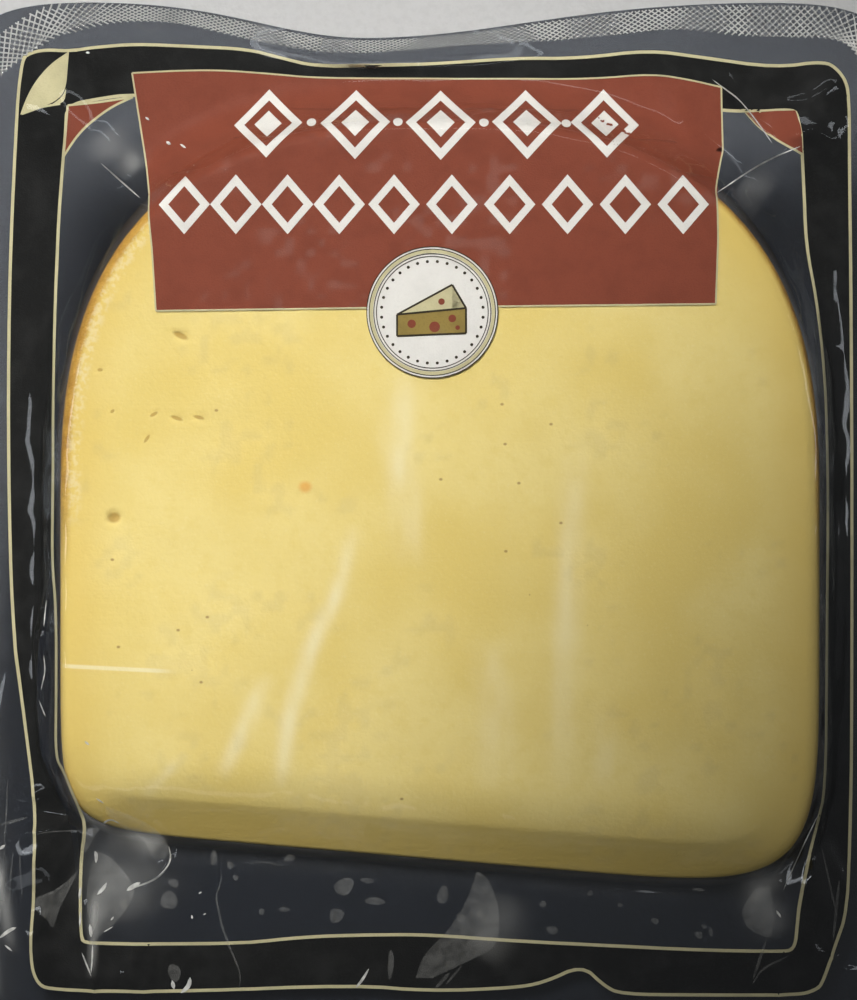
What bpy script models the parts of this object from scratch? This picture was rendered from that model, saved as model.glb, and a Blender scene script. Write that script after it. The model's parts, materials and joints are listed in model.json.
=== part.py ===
"""Vacuum-packed wedge of semi-hard cheese: a sector of a cheese wheel, and the sealed film flange round it.

The wedge lies on its back cut face, as on a table, with its front cut face up and tilted by the angle of
the cut. Shapes are worked out in the front face's own frame: u runs along the wheel's axis, v runs up the
face towards the rim, and w stands out of the face. v = 0 is where the rim starts to curve.
"""

import math

import bmesh
import bpy
import numpy as np

MM = 0.001

# The wheel that the wedge was cut from
WHEEL_HEIGHT = 100 * MM
WHEEL_RADIUS = 142 * MM
RIM_BULGE = 50 * MM
RIM_SQUARENESS = 2.6
CUT_ANGLE = math.radians(16)
AXIS_DROP = WHEEL_RADIUS - RIM_BULGE

# The slanted cut that takes off the wedge's thin point
END_REACH = 47.9 * MM
END_SKEW = 0.085
LEFT_END_SQUARENESS = 12
RIGHT_END_SQUARENESS = 7
BEVEL_WIDTH = 6 * MM
BEVEL_DROP = 1.7 * MM
FACET_WIDTH = 5.5 * MM
FACET_DROP = 5 * MM

# Softened edges
FRONT_RADIUS = 2.2 * MM
BACK_RADIUS = 1.2 * MM
SPUN_FROM = -20 * MM

# The pack's outline, square to the front face
PACK_WIDTH = 127.6 * MM
PACK_LENGTH = 139.5 * MM
PACK_SQUARENESS = 12
PACK_CENTRE = (-1.3 * MM, -3.25 * MM)
TOP_PULL = 4.6 * MM
PULL_AT = -10 * MM
LEFT_PULL_WIDTH = 19 * MM
RIGHT_PULL_WIDTH = 29 * MM
PULL_FROM = 45 * MM

# The flange, where the front and back films are sealed together
FLANGE_DROP = 6.6 * MM
TOP_DROP = 1.4 * MM
TOP_REACH = 60 * MM
END_CURL = 2.6 * MM
END_CURL_FROM = 48 * MM
END_CURL_TO = 73 * MM
EDGE_CURL = 3 * MM
EDGE_CURL_FROM = 57 * MM
FLANGE_THICKNESS = 0.8 * MM

# Where the films leave the wedge, at its sides and rim and at its end cut
SIDE_LEAVE = 0.3 * MM
SIDE_SLOPE = 1.75
END_LEAVE = 0.4 * MM
END_SLOPE = 0.9
BACK_DROP = 3.5 * MM
END_BACK_DROP = 1.4 * MM
BACK_REACH = 4 * MM
WEDGE_GAP = 0.45 * MM

# Soft folds where the flange gathers at the wedge's corners: start, end, height and width
FOLDS = (
    ((-46 * MM, -40 * MM), (-57 * MM, -52 * MM), 2.2 * MM, 3.2 * MM),
    ((49 * MM, -42 * MM), (50 * MM, -60 * MM), 2 * MM, 3 * MM),
    ((-42 * MM, 41 * MM), (-55 * MM, 57 * MM), 1.8 * MM, 3.4 * MM),
    ((40 * MM, 42 * MM), (54 * MM, 54 * MM), 1.6 * MM, 3 * MM),
)

# How finely the shapes are divided
RAYS_PER_SIDE = 26
FRONT_STEPS = 5
WALL_STEPS = 3
FRONT_SPREAD = (0, 0.05, 0.12, 0.22, 0.35, 0.5, 0.66, 0.83, 1)
BACK_SPREAD = (1, 0.66, 0.35, 0.18, 0.08, 0)


def smooth_rise(value, start, end):
    """0 below start, 1 above end, and an even S curve between them."""
    share = np.clip((value - start) / (end - start), 0, 1)
    return share * share * (3 - 2 * share)


def blend(first, second, share):
    return first + (second - first) * share


def outline_level(u, v):
    """How far out (u, v) lies: 1 is the wedge's outline seen square to its front face, 0 its middle.

    The level grows evenly along any ray from the middle. It comes with its slope for each metre, and with
    how much of it belongs to the end cut.
    """
    end_power = np.where(u < 0, LEFT_END_SQUARENESS, RIGHT_END_SQUARENESS)
    power = np.where(v > 0, RIM_SQUARENESS, end_power)
    rim = np.maximum(v, 0) / RIM_BULGE
    end = np.maximum(-v - END_SKEW * u, 0) / END_REACH
    across = np.abs(u) / (WHEEL_HEIGHT / 2)
    along = np.where(v > 0, rim, end)
    total = np.maximum(across**power + along**power, 1e-12)
    level = total ** (1 / power)
    slope_across = across ** (power - 1) * np.sign(u) / (WHEEL_HEIGHT / 2)
    slope_along = along ** (power - 1)
    slope_u = slope_across - np.where(v > 0, 0, slope_along * END_SKEW / END_REACH)
    slope_v = np.where(v > 0, slope_along / RIM_BULGE, -slope_along / END_REACH)
    slope = np.hypot(slope_u, slope_v) / level ** (power - 1)
    return level, slope, np.where(v > 0, 0, along**power / total)


def outside(u, v):
    """The distance from the wedge's outline, below 0 inside it, and the end cut's share."""
    level, slope, end = outline_level(u, v)
    return (level - 1) / slope, end


def wedge_top(away, end):
    """Height of the wedge's front against the front face, from the middle out to its outline."""
    turned = np.clip(away + FRONT_RADIUS, 0, FRONT_RADIUS)
    side = np.sqrt(FRONT_RADIUS**2 - turned**2) - FRONT_RADIUS
    bevel = np.clip((away + FACET_WIDTH + BEVEL_WIDTH) / BEVEL_WIDTH, 0, 1) ** 2
    facet = np.clip((away + FACET_WIDTH) / FACET_WIDTH, 0, 1)
    return blend(side, -BEVEL_DROP * bevel - FACET_DROP * facet, end)


def folds(u, v):
    """Height of the soft folds: each is highest in its middle and runs out at both ends."""
    height = 0
    for (u0, v0), (u1, v1), tall, wide in FOLDS:
        run = math.hypot(u1 - u0, v1 - v0)
        along = ((u - u0) * (u1 - u0) + (v - v0) * (v1 - v0)) / run**2
        across = ((u - u0) * (v1 - v0) - (v - v0) * (u1 - u0)) / run
        ridge = np.exp(-((across / wide) ** 2)) * np.sin(math.pi * np.clip(along, 0, 1))
        height = height + tall * ridge
    return height


def pulled_in(u):
    """How much of its full pull the top edge has at u: 1 where it is deepest."""
    width = np.where(u < PULL_AT, LEFT_PULL_WIDTH, RIGHT_PULL_WIDTH)
    return np.exp(-(((u - PULL_AT) / width) ** 2))


def flange_height(u, v):
    """Height of the flange's front against the front face."""
    level = END_CURL * smooth_rise(-v, END_CURL_FROM, END_CURL_TO) - FLANGE_DROP
    level = level - TOP_DROP * smooth_rise(v, 0, TOP_REACH)
    level = level - EDGE_CURL * pulled_in(u) * smooth_rise(v, EDGE_CURL_FROM, TOP_REACH + TOP_PULL)
    return level + folds(u, v)


def front_height(u, v):
    """Height of the front film: it leaves the wedge's soft edge and lands on the flange."""
    away, end = outside(u, v)
    flange = flange_height(u, v)
    leave = blend(SIDE_LEAVE, END_LEAVE, end)
    start = wedge_top(-leave, end)
    reach = 2 * np.maximum(start - flange, 0.1 * MM) / blend(SIDE_SLOPE, END_SLOPE, end)
    left = np.clip(1 - (away + leave) / reach, 0, 1)
    return flange + (start - flange) * left**2


def back_height(u, v):
    """Height of the back film's underside: it leaves the wedge's wall and rises to the flange."""
    away, end = outside(u, v)
    drop = blend(BACK_DROP, END_BACK_DROP, end)
    left = np.clip(1 - away / BACK_REACH, 0, 1)
    return flange_height(u, v) - FLANGE_THICKNESS - drop * left**2


def pack_rim():
    """Points of the pack's outline, evenly spread over the four sides of the square that it follows."""
    side = np.linspace(-1, 1, RAYS_PER_SIDE, endpoint=False)
    full = np.ones(RAYS_PER_SIDE)
    a = np.concatenate([side, full, -side, -full])
    b = np.concatenate([-full, side, full, -side])
    level = (np.abs(a) ** PACK_SQUARENESS + np.abs(b) ** PACK_SQUARENESS) ** (1 / PACK_SQUARENESS)
    u = PACK_CENTRE[0] + PACK_WIDTH / 2 * a / level
    v = PACK_CENTRE[1] + PACK_LENGTH / 2 * b / level
    top = PACK_CENTRE[1] + PACK_LENGTH / 2
    return u, v - TOP_PULL * pulled_in(u) * smooth_rise(v, PULL_FROM, top)


def wedge_rings(u, v):
    """Rings of the wedge, from its front face over the soft edge, down the wall and in under its back."""
    level, _, end = outline_level(u, v)
    edge_u, edge_v = u / level, v / level
    _, slope, end = outline_level(edge_u, edge_v)
    rings = []
    for step in range(FRONT_STEPS):
        turn = step / (FRONT_STEPS - 1)
        side_away = FRONT_RADIUS * (math.sin(turn * math.pi / 2) - 1)
        end_away = (turn - 1) * (FACET_WIDTH + BEVEL_WIDTH)
        away = blend(side_away, end_away, end)
        height = blend(
            wedge_top(np.full_like(away, side_away), 0),
            wedge_top(np.full_like(away, end_away), 1),
            end,
        )
        share = 1 + away * slope
        rings.append((edge_u * share, edge_v * share, height))
    radius = edge_v + AXIS_DROP
    spun = smooth_rise(edge_v, SPUN_FROM, 0)
    first_turn = np.arctan2(-rings[-1][2], radius)

    def wall_ring(turned, inset):
        share = 1 - inset * slope
        lean_v = edge_v - spun * radius * (1 - np.cos(turned))
        return edge_u * share, lean_v * share, -(lean_v * share + AXIS_DROP) * np.tan(turned)

    last_turn = CUT_ANGLE - np.arcsin(BACK_RADIUS / radius)
    for step in range(1, WALL_STEPS + 1):
        rings.append(wall_ring(blend(first_turn, last_turn, step / WALL_STEPS), 0))
    corner = 1 - math.sqrt(0.5)
    rings.append(wall_ring(CUT_ANGLE - np.arcsin(BACK_RADIUS * corner / radius), BACK_RADIUS * corner))
    rings.append(wall_ring(np.full_like(radius, CUT_ANGLE), BACK_RADIUS))
    return rings


def flange_rings(rim_u, rim_v):
    """Closed rings of the flange: out over its front from the wedge's edge, and back in underneath."""
    level, _, _ = outline_level(rim_u, rim_v)
    _, slope, _ = outline_level(rim_u / level, rim_v / level)
    share = (1 + WEDGE_GAP * slope) / level
    inner_u, inner_v = rim_u * share, rim_v * share
    rings = []
    for spreads, height in ((FRONT_SPREAD, front_height), (BACK_SPREAD, back_height)):
        for spread in spreads:
            u = blend(inner_u, rim_u, spread)
            v = blend(inner_v, rim_v, spread)
            rings.append((u, v, height(u, v)))
    return rings


def in_row_frame(rings):
    """The rings turned so that the wedge's back cut face lies level at z = 0."""
    points = np.array(rings)
    reach = points[:, 1] + AXIS_DROP
    sine, cosine = math.sin(CUT_ANGLE), math.cos(CUT_ANGLE)
    y = reach * cosine - points[:, 2] * sine
    z = reach * sine + points[:, 2] * cosine
    return np.stack([points[:, 0], y, z], axis=2)


def loft(name, rings, closed):
    """An object whose surface runs from ring to ring, and back to the first if it is closed."""
    mesh = bmesh.new()
    made = [[mesh.verts.new(point) for point in ring] for ring in rings]
    following = made[1:] + made[:1] if closed else made[1:]
    for ring, outer in zip(made, following):
        count = len(ring)
        for i in range(count):
            j = (i + 1) % count
            mesh.faces.new((ring[i], outer[i], outer[j], ring[j]))
    if not closed:
        mesh.faces.new(made[0])
        mesh.faces.new(made[-1][::-1])
    bmesh.ops.recalc_face_normals(mesh, faces=mesh.faces)
    data = bpy.data.meshes.new(name)
    mesh.to_mesh(data)
    mesh.free()
    data.shade_smooth()
    data.set_sharp_from_angle(angle=math.radians(35))
    piece = bpy.data.objects.new(name, data)
    bpy.context.scene.collection.objects.link(piece)
    return piece


def finish(piece, name, colour, roughness, alpha=1.0):
    material = bpy.data.materials.new(name)
    material.use_nodes = True
    shader = material.node_tree.nodes["Principled BSDF"]
    shader.inputs["Base Color"].default_value = (*colour, 1)
    shader.inputs["Roughness"].default_value = roughness
    shader.inputs["Metallic"].default_value = 0
    shader.inputs["Alpha"].default_value = alpha
    piece.data.materials.append(material)


def main():
    for leftover in list(bpy.data.objects):
        bpy.data.objects.remove(leftover)
    rim_u, rim_v = pack_rim()
    wedge = in_row_frame(wedge_rings(rim_u, rim_v))
    flange = in_row_frame(flange_rings(rim_u, rim_v))
    low = flange.min(axis=(0, 1))
    high = flange.max(axis=(0, 1))
    centre = np.array([(low[0] + high[0]) / 2, (low[1] + high[1]) / 2, 0])
    cheese = loft("cheese_wedge", wedge - centre, closed=False)
    film = loft("film_flange", flange - centre, closed=True)
    finish(cheese, "cheese", (0.76, 0.60, 0.20), 0.45)
    finish(film, "clear_film", (0.42, 0.45, 0.50), 0.12, alpha=0.45)


main()
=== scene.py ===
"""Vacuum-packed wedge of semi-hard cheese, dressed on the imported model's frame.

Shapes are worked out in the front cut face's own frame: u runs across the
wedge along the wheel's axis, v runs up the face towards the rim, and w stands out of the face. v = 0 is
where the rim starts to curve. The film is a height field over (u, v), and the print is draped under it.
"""

import json
import math

import bmesh
import bpy
import numpy as np
from mathutils import Matrix, Vector

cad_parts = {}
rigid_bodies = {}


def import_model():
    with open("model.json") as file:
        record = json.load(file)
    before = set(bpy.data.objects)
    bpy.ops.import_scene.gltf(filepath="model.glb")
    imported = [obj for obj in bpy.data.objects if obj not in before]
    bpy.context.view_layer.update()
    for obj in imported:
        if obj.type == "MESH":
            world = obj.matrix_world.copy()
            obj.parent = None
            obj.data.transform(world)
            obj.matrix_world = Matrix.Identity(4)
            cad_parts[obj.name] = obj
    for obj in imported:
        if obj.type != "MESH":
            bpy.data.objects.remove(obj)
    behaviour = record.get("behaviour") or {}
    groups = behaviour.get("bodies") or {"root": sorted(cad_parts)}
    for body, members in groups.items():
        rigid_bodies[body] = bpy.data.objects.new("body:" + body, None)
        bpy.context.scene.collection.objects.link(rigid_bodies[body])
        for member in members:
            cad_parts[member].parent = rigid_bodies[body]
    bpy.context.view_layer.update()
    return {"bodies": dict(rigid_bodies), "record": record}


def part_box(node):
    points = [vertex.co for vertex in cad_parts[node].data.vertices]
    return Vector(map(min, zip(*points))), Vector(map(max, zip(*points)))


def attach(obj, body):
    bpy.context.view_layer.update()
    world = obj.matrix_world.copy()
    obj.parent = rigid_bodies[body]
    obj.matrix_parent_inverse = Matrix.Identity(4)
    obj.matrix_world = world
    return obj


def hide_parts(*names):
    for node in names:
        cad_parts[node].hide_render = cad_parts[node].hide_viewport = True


bl_info = {
    "name": "Vacuum-packed cheese wedge",
    "version": (1, 0, 0),
    "blender": (4, 5, 0),
    "location": "3D View > Sidebar > Cheese Pack",
    "description": "Builds the cheese, its clear film, the print on it and a plain studio",
    "category": "Add Mesh",
}

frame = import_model()
SLOT_COLOURS = {entry["slot"]: entry["base_color"] for entry in frame["record"]["materials"]}
(BODY,) = frame["bodies"]

MM = 0.001

# The wheel that the wedge was cut from
WHEEL_HEIGHT = 100 * MM
WHEEL_RADIUS = 142 * MM
RIM_BULGE = 50 * MM
RIM_SQUARENESS = 2.6
CUT_ANGLE = math.radians(16)
AXIS_DROP = WHEEL_RADIUS - RIM_BULGE

# The slanted cut that takes off the wedge's thin point
END_REACH = 47.9 * MM
END_SKEW = 0.085
LEFT_END_SQUARENESS = 12
RIGHT_END_SQUARENESS = 7
BEVEL_WIDTH = 6 * MM
BEVEL_DROP = 1.7 * MM
FACET_WIDTH = 5.5 * MM
FACET_DROP = 5 * MM

# Softened edges
FRONT_RADIUS = 2.2 * MM
BACK_RADIUS = 1.2 * MM
SPUN_FROM = -20 * MM

# The pack's outline, square to the front face
PACK_WIDTH = 127.6 * MM
PACK_LENGTH = 139.5 * MM
PACK_SQUARENESS = 12
PACK_CENTRE = (-1.3 * MM, -3.25 * MM)
TOP_PULL = 4.6 * MM
PULL_AT = -10 * MM
LEFT_PULL_WIDTH = 19 * MM
RIGHT_PULL_WIDTH = 29 * MM
PULL_FROM = 45 * MM

# The flange, where the front and back films are sealed together
FLANGE_DROP = 6.6 * MM
TOP_DROP = 1.4 * MM
TOP_REACH = 60 * MM
END_CURL = 2.6 * MM
END_CURL_FROM = 48 * MM
END_CURL_TO = 73 * MM
EDGE_CURL = 3 * MM
EDGE_CURL_FROM = 57 * MM
FILM_THICKNESS = 0.4 * MM

# Where the films leave the wedge, at its sides and rim and at its end cut
SIDE_LEAVE = 0.3 * MM
SIDE_SLOPE = 1.75
END_LEAVE = 0.4 * MM
END_SLOPE = 0.9
BACK_DROP = 3.5 * MM
END_BACK_DROP = 1.4 * MM
BACK_REACH = 4 * MM
WEDGE_GAP = 0.45 * MM

# Soft folds where the flange gathers at the wedge's corners: start, end, height and width
FOLDS = (
    ((-46 * MM, -40 * MM), (-57 * MM, -52 * MM), 2.2 * MM, 3.2 * MM),
    ((49 * MM, -42 * MM), (50 * MM, -60 * MM), 2 * MM, 3 * MM),
    ((-42 * MM, 41 * MM), (-55 * MM, 57 * MM), 1.8 * MM, 3.4 * MM),
    ((40 * MM, 42 * MM), (54 * MM, 54 * MM), 1.6 * MM, 3 * MM),
)

# Creases in the film: points in mm on the face, height in mm, half width in mm, and 1 for a sharp crest
CREASES = (
    # Standing loop and gathers at the lower left corner
    (((-45.6, -38.6), (-42.6, -41.0), (-38.4, -43.6), (-35.9, -46.4), (-35.6, -48.0), (-37.0, -49.6),
      (-41.0, -51.3)), 1.7, 1.0, 1),
    (((-44.0, -42.5), (-46.2, -47), (-46.6, -53), (-46.0, -60)), 0.9, 0.9, 1),
    (((-46.6, -40.5), (-50.5, -43.2), (-57.5, -44.6), (-63, -44)), 0.9, 0.9, 1),
    (((-46.5, -42), (-51, -50), (-53.5, -58), (-52, -70)), 0.8, 1.2, 0),
    (((-49, -56), (-46, -62), (-45, -70)), 0.8, 0.8, 1),
    (((-49, -37), (-54.5, -39.5), (-63, -37)), 0.6, 1.0, 1),
    (((-55, -48), (-59, -52), (-62, -61)), 0.7, 0.9, 1),
    (((-41, -54), (-38, -60), (-39.5, -68)), 0.35, 0.6, 1),
    (((-26.5, -50), (-26.3, -56), (-24.0, -61), (-24.2, -66)), 0.25, 0.4, 1),
    (((-40, -58), (-41, -62.5), (-38.5, -66)), 0.6, 1.3, 0),
    # Crumpled strip beside the left edge
    (((-51.4, -12), (-53.2, -19), (-52.0, -26), (-53.0, -34)), 0.5, 0.6, 1),
    (((-53.5, -16), (-51.6, -22), (-53.4, -30)), 0.4, 0.5, 1),
    (((-56, -18), (-58, -28), (-55, -37)), 0.6, 0.9, 0),
    (((-61.5, -6), (-60.5, -20), (-62, -33)), 0.5, 0.8, 1),
    (((-60, 30), (-61, 10), (-60.3, -8)), 0.35, 1.4, 0),
    # Pocket at the lower right corner
    (((50.4, -41.0), (47.6, -46.0), (45.2, -51.4), (45.6, -55)), 1.0, 0.7, 1),
    (((50.6, -41.2), (49.3, -47.5), (47.8, -54.5)), 0.9, 0.6, 1),
    (((45.4, -50.5), (41.5, -53.5), (41.5, -57), (45.0, -59)), 0.5, 0.9, 0),
    (((46.5, -58), (44.5, -62), (44.8, -68)), 0.5, 0.7, 1),
    (((48.5, -56), (53, -62), (60, -63)), 0.6, 0.9, 1),
    (((51, -45), (54, -52), (53, -60)), 0.4, 0.9, 0),
    # Pocket at the upper left corner
    (((-45.6, 45.2), (-42.5, 42.7), (-39.2, 39.9)), 1.0, 0.55, 1),
    (((-45.5, 50), (-43.4, 46.5), (-42.6, 43)), 0.5, 1.6, 0),
    (((-47.4, 60.5), (-45.4, 57.8), (-45.2, 54.2)), 0.4, 1.2, 0),
    (((-55, 54), (-52.5, 57.5), (-50, 62)), 0.25, 1.4, 0),
    (((-50, 47), (-47.6, 41), (-49, 33)), 0.5, 1.6, 0),
    # Pulls at the upper right corner
    (((36.2, 57.2), (39.2, 54.0), (41.5, 50.6), (44.6, 47.6)), 0.8, 0.55, 1),
    (((37.4, 57.6), (40.4, 54.2), (43.0, 51.0)), 0.5, 0.45, 1),
    (((36.6, 39.9), (40.0, 43.3), (43.6, 45.4), (48.2, 46.6)), 1.0, 0.6, 1),
    (((44.0, 52.5), (49.0, 53.0), (54.5, 56.5)), 0.6, 1.1, 1),
    (((45.5, 47.5), (49.5, 49.0), (52.5, 47.5), (53.5, 50.5)), 0.6, 0.8, 1),
    (((39, 41), (45.5, 36), (47.5, 29)), 0.5, 1.2, 0),
    (((48.5, 38), (52, 31), (52.5, 20)), 0.5, 0.9, 1),
    (((40, 44), (41.5, 39), (44.5, 35)), 0.5, 1.4, 0),
    # Fold over the top edge, and the pulls in the panel under it
    (((-24, 61.5), (-19.0, 60.6), (-15.8, 58.6), (-9, 57.9), (-2, 58.6)), 1.0, 0.6, 1),
    (((-16, 58.4), (-4, 57.4), (6, 57.8), (15, 59.4)), 0.3, 0.8, 1),
    (((-1.5, 50.6), (9, 50.9), (20.5, 50.5)), 0.18, 0.6, 1),
    (((19.5, 51.2), (25, 48.2), (30.5, 44.2), (36.5, 39.8)), -0.6, 0.65, 1),
    (((-40.2, 39.2), (-37.2, 41.2), (-34.5, 43.4), (-30, 46.0), (-25.0, 48.6)), -0.75, 0.75, 1),
    (((30, 56), (32.5, 50), (35, 45)), 0.3, 1.2, 0),
    # Long line of tension beside the right edge
    (((43.4, 33.5), (47.9, 16), (51.2, -2), (52, -20)), 0.4, 0.6, 1),
    (((52.4, 8), (53.4, -10), (52.7, -32)), 0.3, 0.9, 0),
)

# Where the film lies loose on the cut face: points in mm, height in mm, half width in mm, and the
# paleness of the painted sheen that stands in for the film's soft reflections there
STREAKS = (
    (((-4.6, 17), (-5.4, 7), (-4.4, -1), (-3.7, -9)), 0.10, 1.9, 0.30),
    (((-11.0, -3), (-13.5, -12), (-17.2, -20), (-19.8, -29), (-21.0, -38)), 0.12, 1.05, 0.42),
    (((-22.4, -22.5), (-25.5, -29.5), (-28.8, -36.5)), 0.10, 1.1, 0.30),
    (((17.9, 8), (17.0, -8), (16.5, -20), (16.2, -38)), 0.08, 1.7, 0.22),
    (((6.5, -18), (7.5, -28), (7.0, -38)), 0.06, 2.2, 0.14),
    (((-33, -33), (-36, -36), (-39, -39)), 0.08, 0.7, 0.14),
    (((21, -26), (22, -32), (21, -39)), 0.05, 1.6, 0.10),
)

# Where the film hangs in pale layers beside the cheese, some of them painted sheen that stands in for
# soft reflections: points in mm, half width in mm, milkiness
PALE_LAYERS_AND_SHEEN = (
    (((-44.4, -40.6), (-40.5, -43.2), (-37.2, -46.2)), 1.6, 0.42),
    (((-45.2, 49.0), (-43.0, 45.5)), 2.2, 0.16),
    (((-42.2, 46.8), (-40.4, 43.5)), 1.5, 0.22),
    (((43.8, -47.5), (42.5, -52.5), (44.5, -58)), 2.2, 0.20),
    (((8.5, -52), (7.6, -56.5), (5.0, -60.5)), 2.6, 0.15),
    (((40, 42.5), (43.5, 40)), 2.6, 0.12),
    (((-62, 30), (-62.5, -10), (-61, -50), (-58, -68)), 3.0, 0.10),
    (((-46, -58), (-44.5, -50)), 1.0, 0.2),
    (((-44, -46), (-42, -50), (-40.5, -56)), 4.6, 0.15),
    (((-60.5, -40), (-58.5, -50), (-56.5, -60)), 0.7, 0.30),
    (((-57.5, -47), (-59.5, -56), (-58.5, -66)), 0.6, 0.26),
    (((-62.5, -44), (-62, -56), (-60.5, -66)), 1.2, 0.20),
    (((-45.8, -52), (-45.9, -58), (-46, -63)), 0.45, 0.32),
)

# Pale patches where the two films cling: each lies between two lines of points in mm
PATCHES = (
    (((4.9, -49.4), (4.1, -51.8), (3.1, -54.1), (1, -57.2), (-1.1, -59.1), (-2.4, -60.7), (-3.2, -63.2)),
     ((5.2, -49.4), (6.5, -50.3), (7.6, -53.1), (7.9, -55.2), (7.8, -57.8), (7.1, -59.4), (4, -60.9),
      (-1, -63.2))),
    (((-45.5, -46.5), (-46.7, -50.4), (-46.8, -54.4), (-45.4, -58)),
     ((-43.5, -47.5), (-41.4, -49.9), (-40.2, -51.8), (-42.1, -55.2), (-45.4, -58))),
    (((-43.9, -40.1), (-38.7, -42.5), (-36.8, -44.5), (-35.9, -45.9), (-35.8, -46.9)),
     ((-44, -41.3), (-41.1, -43.7), (-38.9, -45.5), (-38.3, -47.7), (-36.5, -47.5))),
    (((42, -51.5), (40.1, -53.9), (40.1, -55.5), (41, -57), (43.4, -57.9)),
     ((43.8, -51.3), (44.2, -53.9), (44.3, -55.7), (43.9, -57.7))),
    (((-50.9, -52.1), (-53.7, -52.5), (-53.8, -54.1), (-52, -55.4), (-51.5, -56.5)),
     ((-47.7, -48.8), (-49.3, -52), (-50.4, -54.1), (-51.1, -56.5))),
    (((-46.9, -43.4), (-47.4, -46.4)), ((-45.1, -43.5), (-46.9, -46.7))),
)

# Bubbles between the films: centre, half width and half height in mm
BUBBLES = (
    ((-12.7, -51.3), 1.27, 1.13),
    ((-13.7, -55.1), 1.07, 0.87),
    ((-8.6, -53.2), 1.46, 0.45),
    ((0.4, -52.4), 0.73, 1.20),
    ((2.8, -55.4), 0.56, 0.61),
    ((5.3, -54.9), 0.40, 0.40),
    ((-9.6, -50.5), 0.87, 0.37),
    ((13.7, -53.6), 0.40, 0.48),
    ((14.9, -57), 0.67, 0.59),
    ((-35.9, -53.1), 1.00, 1.33),
    ((-35.3, -50.8), 0.61, 0.61),
    ((-30, -47.5), 0.40, 1.13),
    ((-27.8, -48.5), 0.48, 0.45),
    ((-27.1, -50.1), 0.40, 0.32),
    ((-19.9, -47.5), 0.73, 0.43),
    ((-20.6, -54.3), 0.80, 0.29),
    ((-41.8, -53.7), 0.35, 0.67),
    ((34.3, -57.6), 0.48, 0.51),
    ((35.9, -57.2), 0.32, 0.53),
    ((35, -56.5), 0.40, 0.27),
    ((34.3, -51.7), 0.80, 0.21),
    ((-6.5, -61.4), 0.40, 1.86),
    ((-35.1, -62.5), 0.80, 1.20),
    ((23.9, -53.7), 0.40, 0.27),
    ((28.5, -55.8), 0.53, 0.40),
    ((19.9, -52.2), 0.33, 0.33),
    ((-23.6, -54.6), 0.33, 0.47),
)

# Faint creases in the film: points in mm, and greatest width in mm
THREADS = (
    (((-29.1, -49.4), (-28.9, -50.4), (-29.8, -52.6), (-29.3, -54.4), (-29, -56.1), (-28.4, -57.7),
     (-27.8, -59.3), (-27, -61), (-26.3, -62.7), (-26.5, -64.7)), 0.29),
    (((-25.3, -48.3), (-24.1, -48), (-22.4, -48.2), (-21.1, -48.5)), 0.19),
    (((-54.6, -44.6), (-51.7, -43.7), (-46.9, -43.7), (-45.1, -43.5)), 0.16),
    (((-58.4, -43.1), (-54.7, -42.1)), 0.40),
    (((49.6, -41.9), (46.9, -45), (45.3, -48), (44.3, -49.8)), 0.40),
    (((43.2, -58.3), (41.4, -63.3)), 0.40),
    (((46.3, -60.2), (42.6, -61.9), (41.3, -64)), 0.27),
    (((1.3, -62.5), (-0.6, -64.5)), 0.45),
    (((2.9, -61.6), (0.8, -64)), 0.29),
    (((-43.3, -42.1), (-40.1, -44.5), (-38.3, -45.7)), 0.35),
    (((-57.3, -37.2), (-57.8, -47.8)), 0.21),
    (((-56.5, -46.4), (-57.2, -53.7)), 0.21),
    (((-55.6, -45.7), (-55.4, -53.1)), 0.16),
    (((-58, -49.1), (-58.3, -56.3)), 0.27),
    (((52.9, -50.4), (52, -58.2)), 0.40),
    (((50.6, -46.3), (52.5, -54.9)), 0.27),
    (((-40.5, 63.7), (-38.6, 62.1), (-36.5, 63.8)), 0.35),
)
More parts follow.
